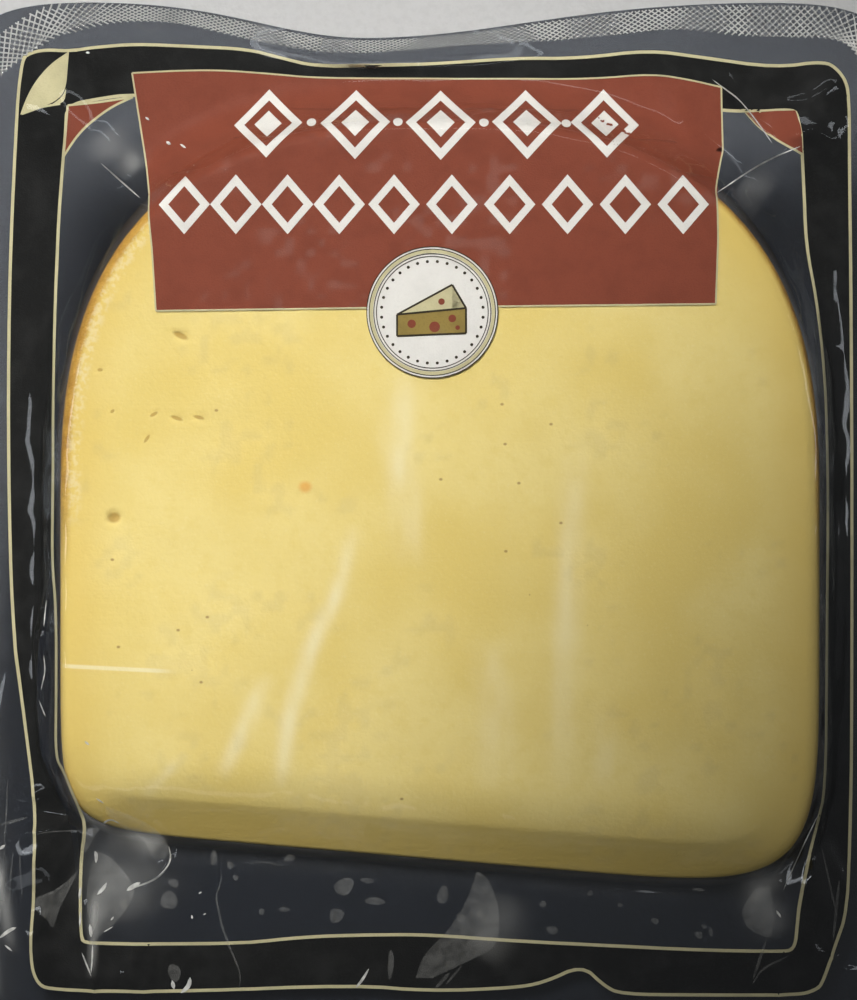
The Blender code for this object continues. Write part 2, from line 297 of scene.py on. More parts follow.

# Painted glints: white marks along sharp folds that stand in for their highlights; points in mm, and
# greatest width in mm
PAINTED_GLINTS = (
    (((-35.9, -45.9), (-35.5, -47.3), (-36.1, -48.7), (-37.3, -50), (-38.9, -50.8), (-40.7, -51.4),
     (-41.3, -51.8)), 0.27),
    (((-41.5, -51.8), (-40.6, -51.2), (-39.7, -50.7)), 0.61),
    (((-44.6, -42.9), (-44.1, -42.4), (-43.3, -42.1), (-42.3, -42.8)), 0.27),
    (((-45.1, -39.1), (-44.1, -39.8)), 0.21),
    (((-45.7, -46.5), (-45.5, -47.1), (-45.6, -48.1)), 0.43),
    (((-44.2, -50.8), (-44.7, -51.6), (-45.4, -52.3)), 0.48),
    (((-47.6, -51.3), (-47.8, -52.9)), 0.35),
    (((-47.6, -54.5), (-47.7, -56.5)), 0.27),
    (((-46.3, -56.1), (-46.1, -57.8)), 0.45),
    (((-47.3, -59.8), (-46, -62.8)), 0.24),
    (((-45.9, -58.8), (-46, -62.4)), 0.19),
    (((-58.3, -58), (-57.1, -57), (-56.1, -56.6)), 0.45),
    (((-57.6, -58.9), (-56.6, -59.7)), 0.24),
    (((-58.4, -46.3), (-57.6, -45.7)), 0.40),
    (((-33, -63.1), (-33.1, -64.2), (-34.2, -65.1)), 0.59),
    (((-35.4, -63.5), (-35.1, -64.6)), 0.53),
    (((49.9, -41.4), (48.2, -44.7), (46.9, -48.2), (45.5, -51.6)), 0.17),
    (((44.6, -54.4), (45.2, -55.3)), 0.27),
    (((-44.9, 44.6), (-39.6, 39.9)), 0.20),
    (((36.3, 56), (40.7, 52.6), (44.1, 47.4)), 0.17),
    (((36.3, 40.3), (42.2, 44.5), (47.8, 46.9)), 0.21),
    (((-39.2, 51), (-38.7, 50.6)), 0.27),
    (((-36.4, 47.7), (-35.8, 47.3)), 0.40),
    (((-34.5, 47.3), (-33.7, 46.7)), 0.29),
    (((-47.1, 59.6), (-46.6, 59.5)), 0.32),
    (((-9.4, -62), (-10.3, -63.5), (-11.1, -64.4)), 0.35),
    (((-46.4, -31.5), (-45.8, -32)), 0.27),
    (((-32.9, -55), (-32.8, -55.5)), 0.21),
    (((-31.4, -55), (-31, -54.8)), 0.16),
    (((-32, -52.2), (-31.6, -52)), 0.21),
    (((-43.6, -55.7), (-43.2, -55.2)), 0.21),
    (((-44.5, -57.2), (-43.3, -56.5)), 0.16),
    (((-52.3, -20.5), (-52, -22.7), (-52.7, -25.1)), 0.19),
    (((-51.9, -13.2), (-52.3, -16.7)), 0.16),
    (((-53, -26.5), (-52, -28.6)), 0.16),
)

# Where the flange is crumpled: centre and reach in mm, and height in mm
CRUMPLED = (
    ((-58, -50), 12, 0.55),
    ((-60, -25), 9, 0.2),
    ((53, -60), 9, 0.35),
    ((50, 50), 9, 0.5),
    ((4, 61), 10, 0.2),
    ((-40, -67), 9, 0.35),
)

# How finely the shapes are divided
RIM_SAMPLES = 26
FILM_CELLS = 260
FILM_CROWDING = 0.22
FILM_WALL_RINGS = 12
CHEESE_CELLS = 230
CHEESE_CROWDING = 0.2
CHEESE_WALL_RINGS = 20
BACK_EDGE_TURNS = (30, 60, 90)
INK_STEP = 0.55 * MM
PANEL_ROWS = 70
PANEL_COLUMNS = 150
PANEL_STRIP = 10
LOOP_SAMPLES = 900
LOOP_BLUR = 30
RING_SIDES = 90
BUBBLE_SIDES = 24
SEAL_SAMPLES = 600

# Points of a piece that are nearer to each other than WELD are one. The angles part smooth from sharp
WELD = 0.004 * MM
SHELL_CREASE = math.radians(62)
INK_CREASE = math.radians(50)

# How far the cheese keeps inside its solid, and how its back and the film's back end
CHEESE_INSET = 0.15 * MM
BACK_MARGIN = 2.2
BACK_SHARES = (1, 0.88, 0.76, 0.64, 0.52, 0.42, 0.33, 0.25, 0.18, 0.12, 0.07, 0.03)
JUST_INSIDE = 0.999999

# Depth of each layer's upper side under the film's outer face
CHEESE_DEPTH = 0.34 * MM
BAND_DEPTH = 0.24 * MM
LINE_DEPTH = 0.20 * MM
PANEL_DEPTH = 0.16 * MM
EDGING_DEPTH = 0.12 * MM
MOTIF_DEPTH = 0.12 * MM
BADGE_DEPTH = 0.09 * MM
BADGE_RING_DEPTH = 0.065 * MM
BADGE_MARK_DEPTH = 0.04 * MM
MARK_DEPTH = 0.03 * MM
GLINT_DEPTH = -0.03 * MM
INK_THICKNESS = 0.02 * MM

# The print, in mm on the face
FRAME_OUTER = (
    (-55.9, 58.6), (-56.8, 42.6), (-57.3, 26.6), (-57.3, 4.0), (-56.8, -15.9), (-55.5, -26.6),
    (-53.4, -42.4), (-53.9, -53.0), (-54.2, -60.9), (-53.1, -64.0), (-50.9, -64.7), (-42.3, -64.9),
    (-32.7, -64.9), (-11.1, -64.1), (-1.6, -64.9), (9.5, -64.5), (13.8, -63.8), (18.8, -61.5),
    (21.7, -64.2), (23.9, -65.3), (34.4, -65.4), (47.6, -65.4), (49.6, -64.7), (50.5, -64.1),
    (52.3, -58.9), (54.0, -54.4), (54.6, -42.5), (54.7, -19.9), (54.7, 6.6), (54.7, 26.6),
    (54.6, 42.6), (54.5, 54.0), (54.1, 55.7), (53.1, 57.3), (51.3, 58.5), (44.8, 57.6),
    (34.9, 59.0), (27.8, 60.0), (19.0, 58.9), (9.6, 58.9), (-1.3, 58.1), (-9.3, 57.8),
    (-16.6, 57.8), (-21.3, 59.0), (-25.7, 60.2), (-33.3, 60.5), (-40.4, 60.8), (-45.3, 60.4),
    (-49.5, 59.8), (-52.6, 60.0), (-54.6, 59.6),
)
FRAME_INNER = (
    (-49.5, 52.5), (-49.6, 49.1), (-50.1, 45.2), (-50.6, 39.9), (-50.9, 33.3), (-51.1, 26.6),
    (-51.0, 13.2), (-50.9, 2.6), (-51.1, -7.9), (-50.4, -14.4), (-50.4, -26.3), (-50.6, -34.0),
    (-49.4, -35.5), (-48.3, -38.4), (-47.4, -41.1), (-46.9, -43.6), (-47.6, -47.6), (-47.7, -53.5),
    (-47.5, -57.8), (-47.1, -58.7), (-37.1, -58.8), (-25.5, -58.7), (-18.3, -57.9), (-9.3, -57.6),
    (-1.3, -57.6), (9.6, -58.4), (24.0, -59.1), (34.7, -59.6), (45.7, -59.8), (47.0, -59.3),
    (47.3, -56.2), (47.6, -52.8), (49.0, -46.3), (50.0, -41.8), (50.8, -38.9), (50.9, -19.7),
    (51.1, -2.6), (51.0, 7.9), (50.8, 16.5), (50.0, 26.4), (48.7, 33.9), (48.5, 42.6),
    (47.6, 51.2), (47.0, 52.0), (40.7, 51.7), (34.7, 52.2), (21.3, 52.6), (-1.3, 52.8),
    (-25.3, 53.3), (-40.9, 54.1), (-45.3, 53.5),
)
BAND_RECESS = (
    (-51.2, -7.9), (-52.2, -14.5), (-53.2, -19.9), (-53.4, -26.5), (-52.9, -33.5), (-50.6, -38.5),
    (-49.0, -42.3), (-48.4, -45.7), (-48.3, -50.4), (-47.8, -55.7),
)
RECESS_RANGE = (-56, -7.9)
RECESS_SIDE = -40
FRAME_STRIPS = 12
PANEL_TOP = (
    (-41.0, 56.9), (-35.3, 57.2), (-29.4, 57.3), (-22.6, 56.8), (-16.2, 56.2), (-1.3, 56.1),
    (10.0, 56.1), (20.4, 56.1), (28.3, 56.8), (33.3, 56.0), (37.5, 55.0),
)
PANEL_BOTTOM = ((-37.1, 24.7), (-1.0, 25.2), (36.0, 25.6))
PANEL_LEFT = ((-37.1, 24.7), (-37.6, 32.6), (-38.4, 40.6), (-39.8, 49.3), (-41.0, 56.9))
PANEL_RIGHT = ((36.0, 25.6), (36.3, 33.9), (36.2, 40.6), (37.7, 46.6), (37.5, 55.0))
CRESCENT_OUTER = ((-55.9, 51.3), (-55.0, 53.6), (-53.6, 56.0), (-51.7, 58.2), (-49.4, 59.8))
CRESCENT_INNER = (
    (-55.9, 51.3), (-53.6, 52.2), (-51.6, 52.6), (-50.2, 53.7), (-49.7, 55.2), (-49.6, 57.2),
    (-49.4, 59.8),
)
CRESCENT_SEAM = ((-55.7, 51.4), (-53.1, 52.2), (-50.4, 52.6))
CORNER_OUTER = ((-51.4, 52.6), (-50.2, 53.5), (-49.7, 54.8))
CORNER_INNER = ((-51.4, 52.6), (-49.8, 52.7), (-49.7, 54.8))
LEFT_SPANDREL_CORNER = ((-40.9, 53.7), (-45.3, 53.0), (-49.4, 52.4), (-49.6, 49.1), (-50.0, 45.6))
LEFT_SPANDREL_ARC = ((-40.9, 53.7), (-43.9, 52.3), (-46.3, 50.3), (-48.4, 47.9), (-50.0, 45.6))
RIGHT_SPANDREL_CORNER = ((40.7, 51.6), (44.3, 51.8), (47.3, 51.8), (47.9, 49.5), (48.2, 45.9))
RIGHT_SPANDREL_ARC = ((40.7, 51.6), (42.4, 49.6), (44.6, 47.9), (46.3, 46.8), (48.2, 45.9))
BADGE_CENTRE = (-1.0, 24.5)
ROW_ONE = ((-22.7, 49.7), (-11.1, 49.5), (0.1, 49.4), (11.4, 49.5), (21.8, 49.7))
ROW_TWO = tuple((-33.4 + 6.75 * step, 38.6) for step in range(4)) + tuple(
    (-6.0 + 7.55 * step, 38.6) for step in range(6))

# Widths of the thin lines in mm, and the lozenges' shares of their row's size
EDGING_WIDTH = 0.22
SEAM_WIDTH = 0.3
LARGE_INNER = 0.70
LARGE_CORE = 0.4
LARGE_NARROW = 0.92
SMALL_SIZE = 0.78
SMALL_INNER = 0.62
SMALL_NARROW = 0.86
JOINING_DOT = 0.62

# The seal band's inner edge near the pack's top, in mm; elsewhere it keeps to the pack's edge
SEAL_TOP = (
    (-60.3, 50.0), (-60.2, 53.6), (-58.6, 56.2), (-55.9, 58.6), (-51.9, 61.2), (-48.6, 62.6),
    (-44.6, 63.6), (-40.0, 63.9), (-34.7, 63.6), (-30.7, 62.8), (-26.7, 61.8), (-22.7, 60.9),
    (-17.7, 60.0), (-12.8, 59.7), (-7.8, 59.8), (-2.9, 60.2), (2.0, 60.7), (7.0, 61.0), (15.8, 61.4),
    (24.2, 62.1), (27.4, 62.6), (32.2, 62.8), (36.3, 62.5), (40.3, 61.9), (46.4, 61.6), (51.1, 61.6),
    (53.9, 60.6), (55.8, 58.4), (56.6, 55.0), (56.9, 50.0),
)
SEAL_EDGE = 0.35 * MM
SEAL_NEAREST = 55 * MM
SEAL_NARROWEST = 0.5 * MM
SEAL_GUIDE_HEIGHT = 25 * MM
SEAL_RAY = 0.2

# Openings in the cut face: centre, half length and half width in mm, turn in degrees, depth in mm
EYES = (
    ((-33.9, 21.5), 1.0, 0.38, -25, 0.5),
    ((-42.6, -2.3), 0.8, 0.65, 10, 0.6),
    ((-37.4, 11.2), 0.55, 0.22, 30, 0.3),
    ((-34.4, 10.7), 0.8, 0.25, -20, 0.35),
    ((-31.5, 10.8), 0.7, 0.24, -15, 0.35),
    ((-38.3, 8.0), 0.6, 0.2, 55, 0.3),
    ((-44.4, 17.0), 0.35, 0.22, 0, 0.2),
    ((-42.8, 11.6), 0.3, 0.2, 40, 0.2),
)
SPECKS = (
    (-42.8, -7.8), (-30.4, -15.3), (-34.2, -17.0), (-42.0, -19.2), (-31.2, -23.8), (8.1, 12.5),
    (14.5, 9.9), (8.5, 7.3), (0.1, 2.7), (10.3, 2.2), (15.8, -3.0), (8.6, -6.7), (-5.0, -39.1),
    (-29.2, 11.7),
)
SOFT_BUMPS = (
    ((-28.1, 13.4), 2.6, 0.22),
    ((-33.9, -1.5), 3.6, 0.2),
    ((-37.2, -9.1), 3.2, -0.25),
    ((-30.0, -16), 4.0, -0.12),
    ((22.0, 12.0), 6.0, 0.08),
    ((-15.0, -24.0), 7.0, -0.10),
)
ORANGE_SPOT = (-17.6, 1.7)
ORANGE_SIZE = (0.75, 0.65)
SPECK_SIZE = (0.22, 0.17)

# A scratch across the cut face at its left, in mm
SCRATCH_HEIGHT = -22.0
SCRATCH_SLOPE = 0.05
SCRATCH_FROM = -43

# Colours in the cheese that the settings don't cover
GRAIN_TINT = (1, 0.93, 0.62)
ORANGE_TINT = (0.78, 0.36, 0.06)
SCRATCH_TINT = (0.93, 0.87, 0.62)
# Tint of the painted sheen where the loose film reflects
STREAK_SHEEN_TINT = (0.95, 0.90, 0.68)
# Painted shade inside the openings
HOLE_SHADE_TINT = (0.42, 0.25, 0.05)
SPECK_TINT = (0.28, 0.12, 0.03)
CRUMB_TINT = (0.84, 0.77, 0.55)

# The film's ripples: heights, sizes and reaches
LYING_CREASE = 0.35
FLANGE_CRUMPLE = 0.02
CRUMPLE_SIZE = 11 * MM
FINE_CRUMPLE_SIZE = 5 * MM
GATHER_HEIGHT = 0.22 * MM
GATHER_SIZE = 2.3 * MM
STREAK_RISE = 0.4
SWELL_HEIGHT = 0.07
SWELL_SIZE = 13 * MM
FINE_SWELL_HEIGHT = 0.03
FINE_SWELL_SIZE = 5 * MM
PLEAT_HEIGHT = 0.022 * MM
PLEAT_PITCH = 3.4 * MM
PLEAT_SLANT = 0.45
PLEAT_WANDER = 2.4

# The badge in mm: its discs, its fine rings, its dots, and the figure's corners and holes
BADGE_RADIUS = 8.6
BADGE_BAND = (7.75, 8.25)
FINE_RINGS = (8.62, 8.3, 7.7, 7.35)
FINE_RING_WIDTH = 0.12
DOT_COUNT = 32
DOT_TURN = 5.6
DOT_CIRCLE = 6.65
DOT_RADIUS = 0.2
FIGURE_TIP, FIGURE_RIGHT, FIGURE_PEAK = (-4.6, -0.3), (4.4, 0.55), (2.6, 3.6)
FIGURE_LOW_RIGHT, FIGURE_LOW_TIP = (4.4, -2.75), (-4.6, -3.1)
FIGURE_LINE = 0.26
FIGURE_POINT = 0.05
FIGURE_CORNER = 0.15
FIGURE_HOLES = (
    ((-2.7, -1.5), 0.55),
    ((0.3, -1.9), 0.7),
    ((2.6, -0.8), 0.5),
    ((1.2, 1.4), 0.42),
    ((3.3, -2.0), 0.3),
)

# The studio. A light's place is its tilt off the face's normal and its turn from the face's right in
# degrees, its distance and its two sizes in metres. A strip ends with its share of the strips' power
KEY_PLACE = (49, 122, 0.22, (0.2, 0.2))
KEY_AIM = (-0.052, 0.066)
KEY_SPREAD = 35
KEY_COLOUR = (1, 0.985, 0.96)
STRIP_COLOUR = (0.94, 0.97, 1)
SKY_COLOUR = (0.93, 0.96, 1, 1)
STRIPS = (
    ("strip_right", (62, 8, 0.7, (0.05, 0.5)), 1),
    ("strip_left", (58, 176, 0.7, (0.05, 0.4)), 1),
    ("strip_top", (46, 78, 0.75, (0.4, 0.045)), 0.5),
    ("strip_bottom", (50, -112, 0.7, (0.3, 0.06)), 0.2),
)
FLOOR_RADIUS = 4
FLOOR_SIDES = 96
FLOOR_DROP = 0.2 * MM

# The camera looks square at the front face, and takes in this much of it from top to bottom
CAMERA_ACROSS = -1.5 * MM
CAMERA_DISTANCE = 385 * MM
VIEW_LENGTH = 130.5 * MM
SENSOR_LENGTH = 36


def smooth_rise(value, start, end):
    """0 below start, 1 above end, and an even S curve between them."""
    share = np.clip((value - start) / (end - start), 0, 1)
    return share * share * (3 - 2 * share)


def blend(first, second, share):
    return first + (second - first) * share


def outline_level(u, v):
    """How far out (u, v) lies: 1 is the wedge's outline seen square to its front face, 0 its middle."""
    end_power = np.where(u < 0, LEFT_END_SQUARENESS, RIGHT_END_SQUARENESS)
    power = np.where(v > 0, RIM_SQUARENESS, end_power)
    rim = np.maximum(v, 0) / RIM_BULGE
    end = np.maximum(-v - END_SKEW * u, 0) / END_REACH
    across = np.abs(u) / (WHEEL_HEIGHT / 2)
    along = np.where(v > 0, rim, end)
    total = np.maximum(across**power + along**power, 1e-12)
    level = total ** (1 / power)
    slope_across = across ** (power - 1) * np.sign(u) / (WHEEL_HEIGHT / 2)
    slope_along = along ** (power - 1)
    slope_u = slope_across - np.where(v > 0, 0, slope_along * END_SKEW / END_REACH)
    slope_v = np.where(v > 0, slope_along / RIM_BULGE, -slope_along / END_REACH)
    slope = np.hypot(slope_u, slope_v) / level ** (power - 1)
    return level, np.maximum(slope, 1), np.where(v > 0, 0, along**power / total)


def outside(u, v):
    """The distance from the wedge's outline, below 0 inside it, and the end cut's share."""
    level, slope, end = outline_level(u, v)
    return (level - 1) / slope, end


def wedge_top(away, end):
    """Height of the wedge's front against the front face, from the middle out to its outline."""
    turned = np.clip(away + FRONT_RADIUS, 0, FRONT_RADIUS)
    side = np.sqrt(FRONT_RADIUS**2 - turned**2) - FRONT_RADIUS
    bevel = np.clip((away + FACET_WIDTH + BEVEL_WIDTH) / BEVEL_WIDTH, 0, 1) ** 2
    facet = np.clip((away + FACET_WIDTH) / FACET_WIDTH, 0, 1)
    return blend(side, -BEVEL_DROP * bevel - FACET_DROP * facet, end)


def folds(u, v):
    """Height of the soft folds: each is highest in its middle and runs out at both ends."""
    height = 0
    for (u0, v0), (u1, v1), tall, wide in FOLDS:
        run = math.hypot(u1 - u0, v1 - v0)
        along = ((u - u0) * (u1 - u0) + (v - v0) * (v1 - v0)) / run**2
        across = ((u - u0) * (v1 - v0) - (v - v0) * (u1 - u0)) / run
        ridge = np.exp(-((across / wide) ** 2)) * np.sin(math.pi * np.clip(along, 0, 1))
        height = height + tall * ridge
    return height


def pulled_in(u):
    """How much of its full pull the top edge has at u: 1 where it is deepest."""
    width = np.where(u < PULL_AT, LEFT_PULL_WIDTH, RIGHT_PULL_WIDTH)
    return np.exp(-(((u - PULL_AT) / width) ** 2))


def flange_height(u, v):
    """Height of the flange's front against the front face."""
    level = END_CURL * smooth_rise(-v, END_CURL_FROM, END_CURL_TO) - FLANGE_DROP
    level = level - TOP_DROP * smooth_rise(v, 0, TOP_REACH)
    level = level - EDGE_CURL * pulled_in(u) * smooth_rise(v, EDGE_CURL_FROM, TOP_REACH + TOP_PULL)
    return level + folds(u, v)


def front_height(u, v):
    """Height of the front film off the wedge: it leaves the soft edge and lands on the flange."""
    away, end = outside(u, v)
    flange = flange_height(u, v)
    leave = blend(SIDE_LEAVE, END_LEAVE, end)
    start = wedge_top(-leave, end)
    reach = 2 * np.maximum(start - flange, 0.1 * MM) / blend(SIDE_SLOPE, END_SLOPE, end)
    left = np.clip(1 - (away + leave) / reach, 0, 1)
    return flange + (start - flange) * left**2


def pack_rim(a, b):
    """The pack's outline where a ray through (a, b) on the rim of a square from -1 to 1 meets it."""
    level = (np.abs(a) ** PACK_SQUARENESS + np.abs(b) ** PACK_SQUARENESS) ** (1 / PACK_SQUARENESS)
    u = PACK_CENTRE[0] + PACK_WIDTH / 2 * a / level
    v = PACK_CENTRE[1] + PACK_LENGTH / 2 * b / level
    top = PACK_CENTRE[1] + PACK_LENGTH / 2
    return u, v - TOP_PULL * pulled_in(u) * smooth_rise(v, PULL_FROM, top)


def square_rim(count):
    """Points round the rim of a square from -1 to 1, count on each side, from its lower left corner."""
    side = np.linspace(-1, 1, count, endpoint=False)
    full = np.ones(count)
    return np.concatenate([side, full, -side, -full]), np.concatenate([-full, side, full, -side])


def lean(u, v, w):
    """(u, v, w) turned so that the wedge's back cut face is level."""
    reach = v + AXIS_DROP
    sine, cosine = math.sin(CUT_ANGLE), math.cos(CUT_ANGLE)
    return np.stack([u, reach * cosine - w * sine, reach * sine + w * cosine], axis=-1)


def frame_origin():
    """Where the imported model's origin lies in the leaning frame: under the middle of its flange."""
    u, v = pack_rim(*square_rim(RIM_SAMPLES))
    front = front_height(u, v)
    low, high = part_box("film_flange")
    behind = lean(u, v, front)[:, 1]
    return np.array([PACK_CENTRE[0] - (low.x + high.x) / 2, behind.max() - high.y, 0])


ORIGIN = frame_origin()


def to_frame(u, v, w):
    """Points of the face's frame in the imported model's frame."""
    return lean(u, v, w) - ORIGIN


def lumps(u, v, size, seed):
    """Smooth noise between 0 and 1 whose lumps are about size across."""
    table = np.random.RandomState(seed).random((64, 64))
    x, y = u / size, v / size
    column, row = np.floor(x).astype(int), np.floor(y).astype(int)
    across, up = smooth_rise(x - column, 0, 1), smooth_rise(y - row, 0, 1)

    def corner(right, above):
        return table[(column + right) % 64, (row + above) % 64]

    below = blend(corner(0, 0), corner(1, 0), across)
    above = blend(corner(0, 1), corner(1, 1), across)
    return blend(below, above, up)


def crinkles(u, v, size, seed):
    """Branching crests between shallow hollows, from 0 to 1, as in crumpled film that was pulled flat."""
    bent_u = u + size * (lumps(u, v, size * 1.4, seed + 1) - 0.5) * 1.6
    bent_v = v + size * (lumps(u, v, size * 1.4, seed + 2) - 0.5) * 1.6
    return 1 - np.abs(2 * lumps(bent_u, bent_v, size, seed) - 1)


def along_line(u, v, points, width, sharp):
    """1 on the line through points in mm, falling off over width in mm and running out at its ends."""
    line = np.array(points) * MM
    steps = np.diff(line, axis=0)
    lengths = np.hypot(steps[:, 0], steps[:, 1])
    best = np.zeros(np.shape(u))
    covered = 0
    for (u0, v0), (du, dv), length in zip(line, steps, lengths):
        share = np.clip(((u - u0) * du + (v - v0) * dv) / length**2, 0, 1)
        gap = np.hypot(u - u0 - share * du, v - v0 - share * dv) / (width * MM)
        run = (covered + share * length) / lengths.sum()
        crest = np.exp(-gap * 1.3) if sharp else np.exp(-(gap**2))
        best = np.maximum(best, crest * np.sin(math.pi * run) ** 0.6)
        covered += length
    return best


def streak_sheen(u, v):
    """Painted sheen: how much the cut face is paled where the film lies loose on it, standing in for the
    film's soft reflections.
    """
    haze = 0
    for index, (points, _, width, paleness) in enumerate(STREAKS):
        ragged = 0.35 + 0.9 * lumps(u * 2.2, v * 0.7, 3 * MM, 70 + index)
        haze = haze + paleness * ragged * along_line(u, v, points, width, False)
    return haze


def layer_milk_and_sheen(u, v):
    """How milky the film is made where it hangs in pale layers beside the cheese; part of it is painted
    sheen standing in for soft reflections.
    """
    haze = 0
    for index, (points, width, paleness) in enumerate(PALE_LAYERS_AND_SHEEN):
        ragged = 0.5 + 0.7 * lumps(u, v, 2.5 * MM, 90 + index)
        haze = haze + paleness * ragged * along_line(u, v, points, width, False)
    return haze


def film_relief(u, v, away, end):
    """Height of the film's own creases and ripples over its smooth shape."""
    strength = bpy.context.scene.cheese_pack.film.crumple
    loose = smooth_rise(away, -1 * MM, 3 * MM)
    resting = 1 - smooth_rise(away, -3 * MM, 0)
    height = 0
    for points, tall, width, sharp in CREASES:
        height = height + tall * MM * along_line(u, v, points, width, sharp)
    height = height * blend(LYING_CREASE, 1, loose)
    crumpled = FLANGE_CRUMPLE
    for (cu, cv), reach, tall in CRUMPLED:
        spread = ((u / MM - cu) ** 2 + (v / MM - cv) ** 2) / reach**2
        crumpled = crumpled + tall * np.exp(-spread)
    creased = crinkles(u, v, CRUMPLE_SIZE, 11) + 0.3 * crinkles(u, v, FINE_CRUMPLE_SIZE, 23)
    height = height + crumpled * MM * loose * (creased - 0.5)
    around = np.arctan2(v + 3 * MM, u)
    gathers = lumps(around * 50 * MM, away * 0.22, GATHER_SIZE, 41) - 0.5
    height = height + GATHER_HEIGHT * gathers * smooth_rise(away, -0.6 * MM, 2 * MM) * (1 - 0.7 * loose)
    for points, tall, width, _ in STREAKS:
        height = height + STREAK_RISE * tall * MM * along_line(u, v, points, width, False) * resting
    swell = SWELL_HEIGHT * (lumps(u, v, SWELL_SIZE, 5) - 0.5)
    swell = swell + FINE_SWELL_HEIGHT * (lumps(u, v, FINE_SWELL_SIZE, 6) - 0.5)
    height = height + swell * MM * resting
    pleat_place = (u + PLEAT_SLANT * (v + 40 * MM)) / PLEAT_PITCH + PLEAT_WANDER * lumps(u, v, 9 * MM, 8)
    near_end = smooth_rise(-v, 34 * MM, 40 * MM) * (1 - smooth_rise(away, 0, 5 * MM))
    height = height + PLEAT_HEIGHT * np.sin(2 * math.pi * pleat_place) * near_end * end**0.5
    return height * strength


def film_height(u, v):
    """Height of the front film's outer face."""
    away, end = outside(u, v)
    leave = blend(SIDE_LEAVE, END_LEAVE, end)
    smooth = np.where(away < -leave, wedge_top(away, end), front_height(u, v))
    return smooth + film_relief(u, v, away, end)


def square_grid(cells, crowding):
    """Directions a and b and the share of the way out, for a square net with smaller cells at its rim."""
    side = np.linspace(-1, 1, cells + 1)
    a, b = np.meshgrid(side, side, indexing="ij")
    share = np.maximum(np.abs(a), np.abs(b))
    full = np.where(share == 0, 1, share)
    spread = share + crowding * np.sin(math.pi * share) / math.pi
    return a / full + (share == 0), b / full, spread


def net_faces(cells):
    """Quads of a square net, seen from its front, and the order of the points round its rim."""
    index = np.arange((cells + 1) ** 2).reshape(cells + 1, cells + 1)
    quads = np.stack([index[:-1, :-1], index[1:, :-1], index[1:, 1:], index[:-1, 1:]], axis=-1)
    rim = np.concatenate([index[:-1, 0], index[-1, :-1], index[:0:-1, -1], index[0, :0:-1]])
    return quads.reshape(-1, 4), rim


def shell_mesh(name, front, cells, rings):
    """A closed mesh: a square net in front, rings from its rim to the back, and a flat cap there."""
    quads, rim = net_faces(cells)
    points = [front.reshape(-1, 3)]
    faces = [quads]
    start = (cells + 1) ** 2
    upper = rim
    for ring in rings:
        lower = np.arange(start, start + len(ring))
        faces.append(np.stack([upper, lower, np.roll(lower, -1), np.roll(upper, -1)], axis=-1))
        points.append(ring)
        start += len(ring)
        upper = lower
    cap = [upper[::-1].tolist()]
    mesh = bpy.data.meshes.new(name)
    mesh.from_pydata(np.concatenate(points).tolist(), [], np.concatenate(faces).tolist() + cap)
    mesh.validate()
    mesh.shade_smooth()
    mesh.set_sharp_from_angle(angle=SHELL_CREASE)
    return mesh


def wall_rings(rim_u, rim_v, first_height, steps, inset):
    """Rings inside the wedge's wall by inset: down it, round its back edge and in under it."""
    level, _, _ = outline_level(rim_u, rim_v)
    edge_u, edge_v = rim_u / level, rim_v / level
    _, slope, _ = outline_level(edge_u, edge_v)
    radius = edge_v + AXIS_DROP
    spun = smooth_rise(edge_v, SPUN_FROM, 0)
    first_turn = np.arctan2(-first_height, radius)

    def ring(turned, depth, lift):
        share = 1 - (depth + inset) * slope
        lean_v = edge_v - spun * radius * (1 - np.cos(turned))
        drop = (lean_v * share + AXIS_DROP) * np.tan(turned)
        return edge_u * share, lean_v * share, lift - drop

    last_turn = CUT_ANGLE - np.arcsin(BACK_RADIUS / radius)
    rings = []
    for step in range(1, steps + 1):
        rings.append(ring(blend(first_turn, last_turn, step / steps), 0, 0))
    lift = max(inset, 0) / math.cos(CUT_ANGLE)
    for turn in BACK_EDGE_TURNS:
        across, down = 1 - math.cos(math.radians(turn)), math.sin(math.radians(turn))
        turned = CUT_ANGLE - np.arcsin(BACK_RADIUS * (1 - down) / radius)
        rings.append(ring(turned, BACK_RADIUS * across, lift * down))
    rings.append(ring(np.full_like(radius, CUT_ANGLE), BACK_RADIUS * BACK_MARGIN, lift))
    return rings


def make_piece(name, mesh, material, replaced=()):
    """An object for the mesh, with its material, riding on the part's body."""
    piece = bpy.data.objects.new(name, mesh)
    bpy.context.scene.collection.objects.link(piece)
    mesh.materials.clear()
    mesh.materials.append(material)
    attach(piece, BODY)
    if replaced:
        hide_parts(*replaced)
    return piece


def write_attribute(mesh, name, values):
    """A number on each of the mesh's points; points after the given values get their last one."""
    attribute = mesh.attributes.new(name, "FLOAT", "POINT")
    full = np.full(len(mesh.vertices), values[-1], np.float32)
    full[: len(values)] = values
    attribute.data.foreach_set("value", full)


class Wire:
    """An output in a node tree. Sums, products and powers of wires and numbers add Math nodes to it."""

    def __init__(self, recipe, socket):
        self.recipe = recipe
        self.socket = socket

    def maths(self, operation, *values):
        return self.recipe.node("ShaderNodeMath", {"operation": operation}, dict(enumerate(values)))

    def __add__(self, other):
        return self.maths("ADD", self, other)

    def __radd__(self, other):
        return self.maths("ADD", other, self)

    def __sub__(self, other):
        return self.maths("SUBTRACT", self, other)

    def __rsub__(self, other):
        return self.maths("SUBTRACT", other, self)

    def __mul__(self, other):
        return self.maths("MULTIPLY", self, other)

    def __rmul__(self, other):
        return self.maths("MULTIPLY", other, self)

    def __truediv__(self, other):
        return self.maths("DIVIDE", self, other)

    def __pow__(self, other):
        return self.maths("POWER", self, other)

    def at_most(self, other):
        return self.maths("MINIMUM", self, other)

    def size(self):
        return self.maths("ABSOLUTE", self)


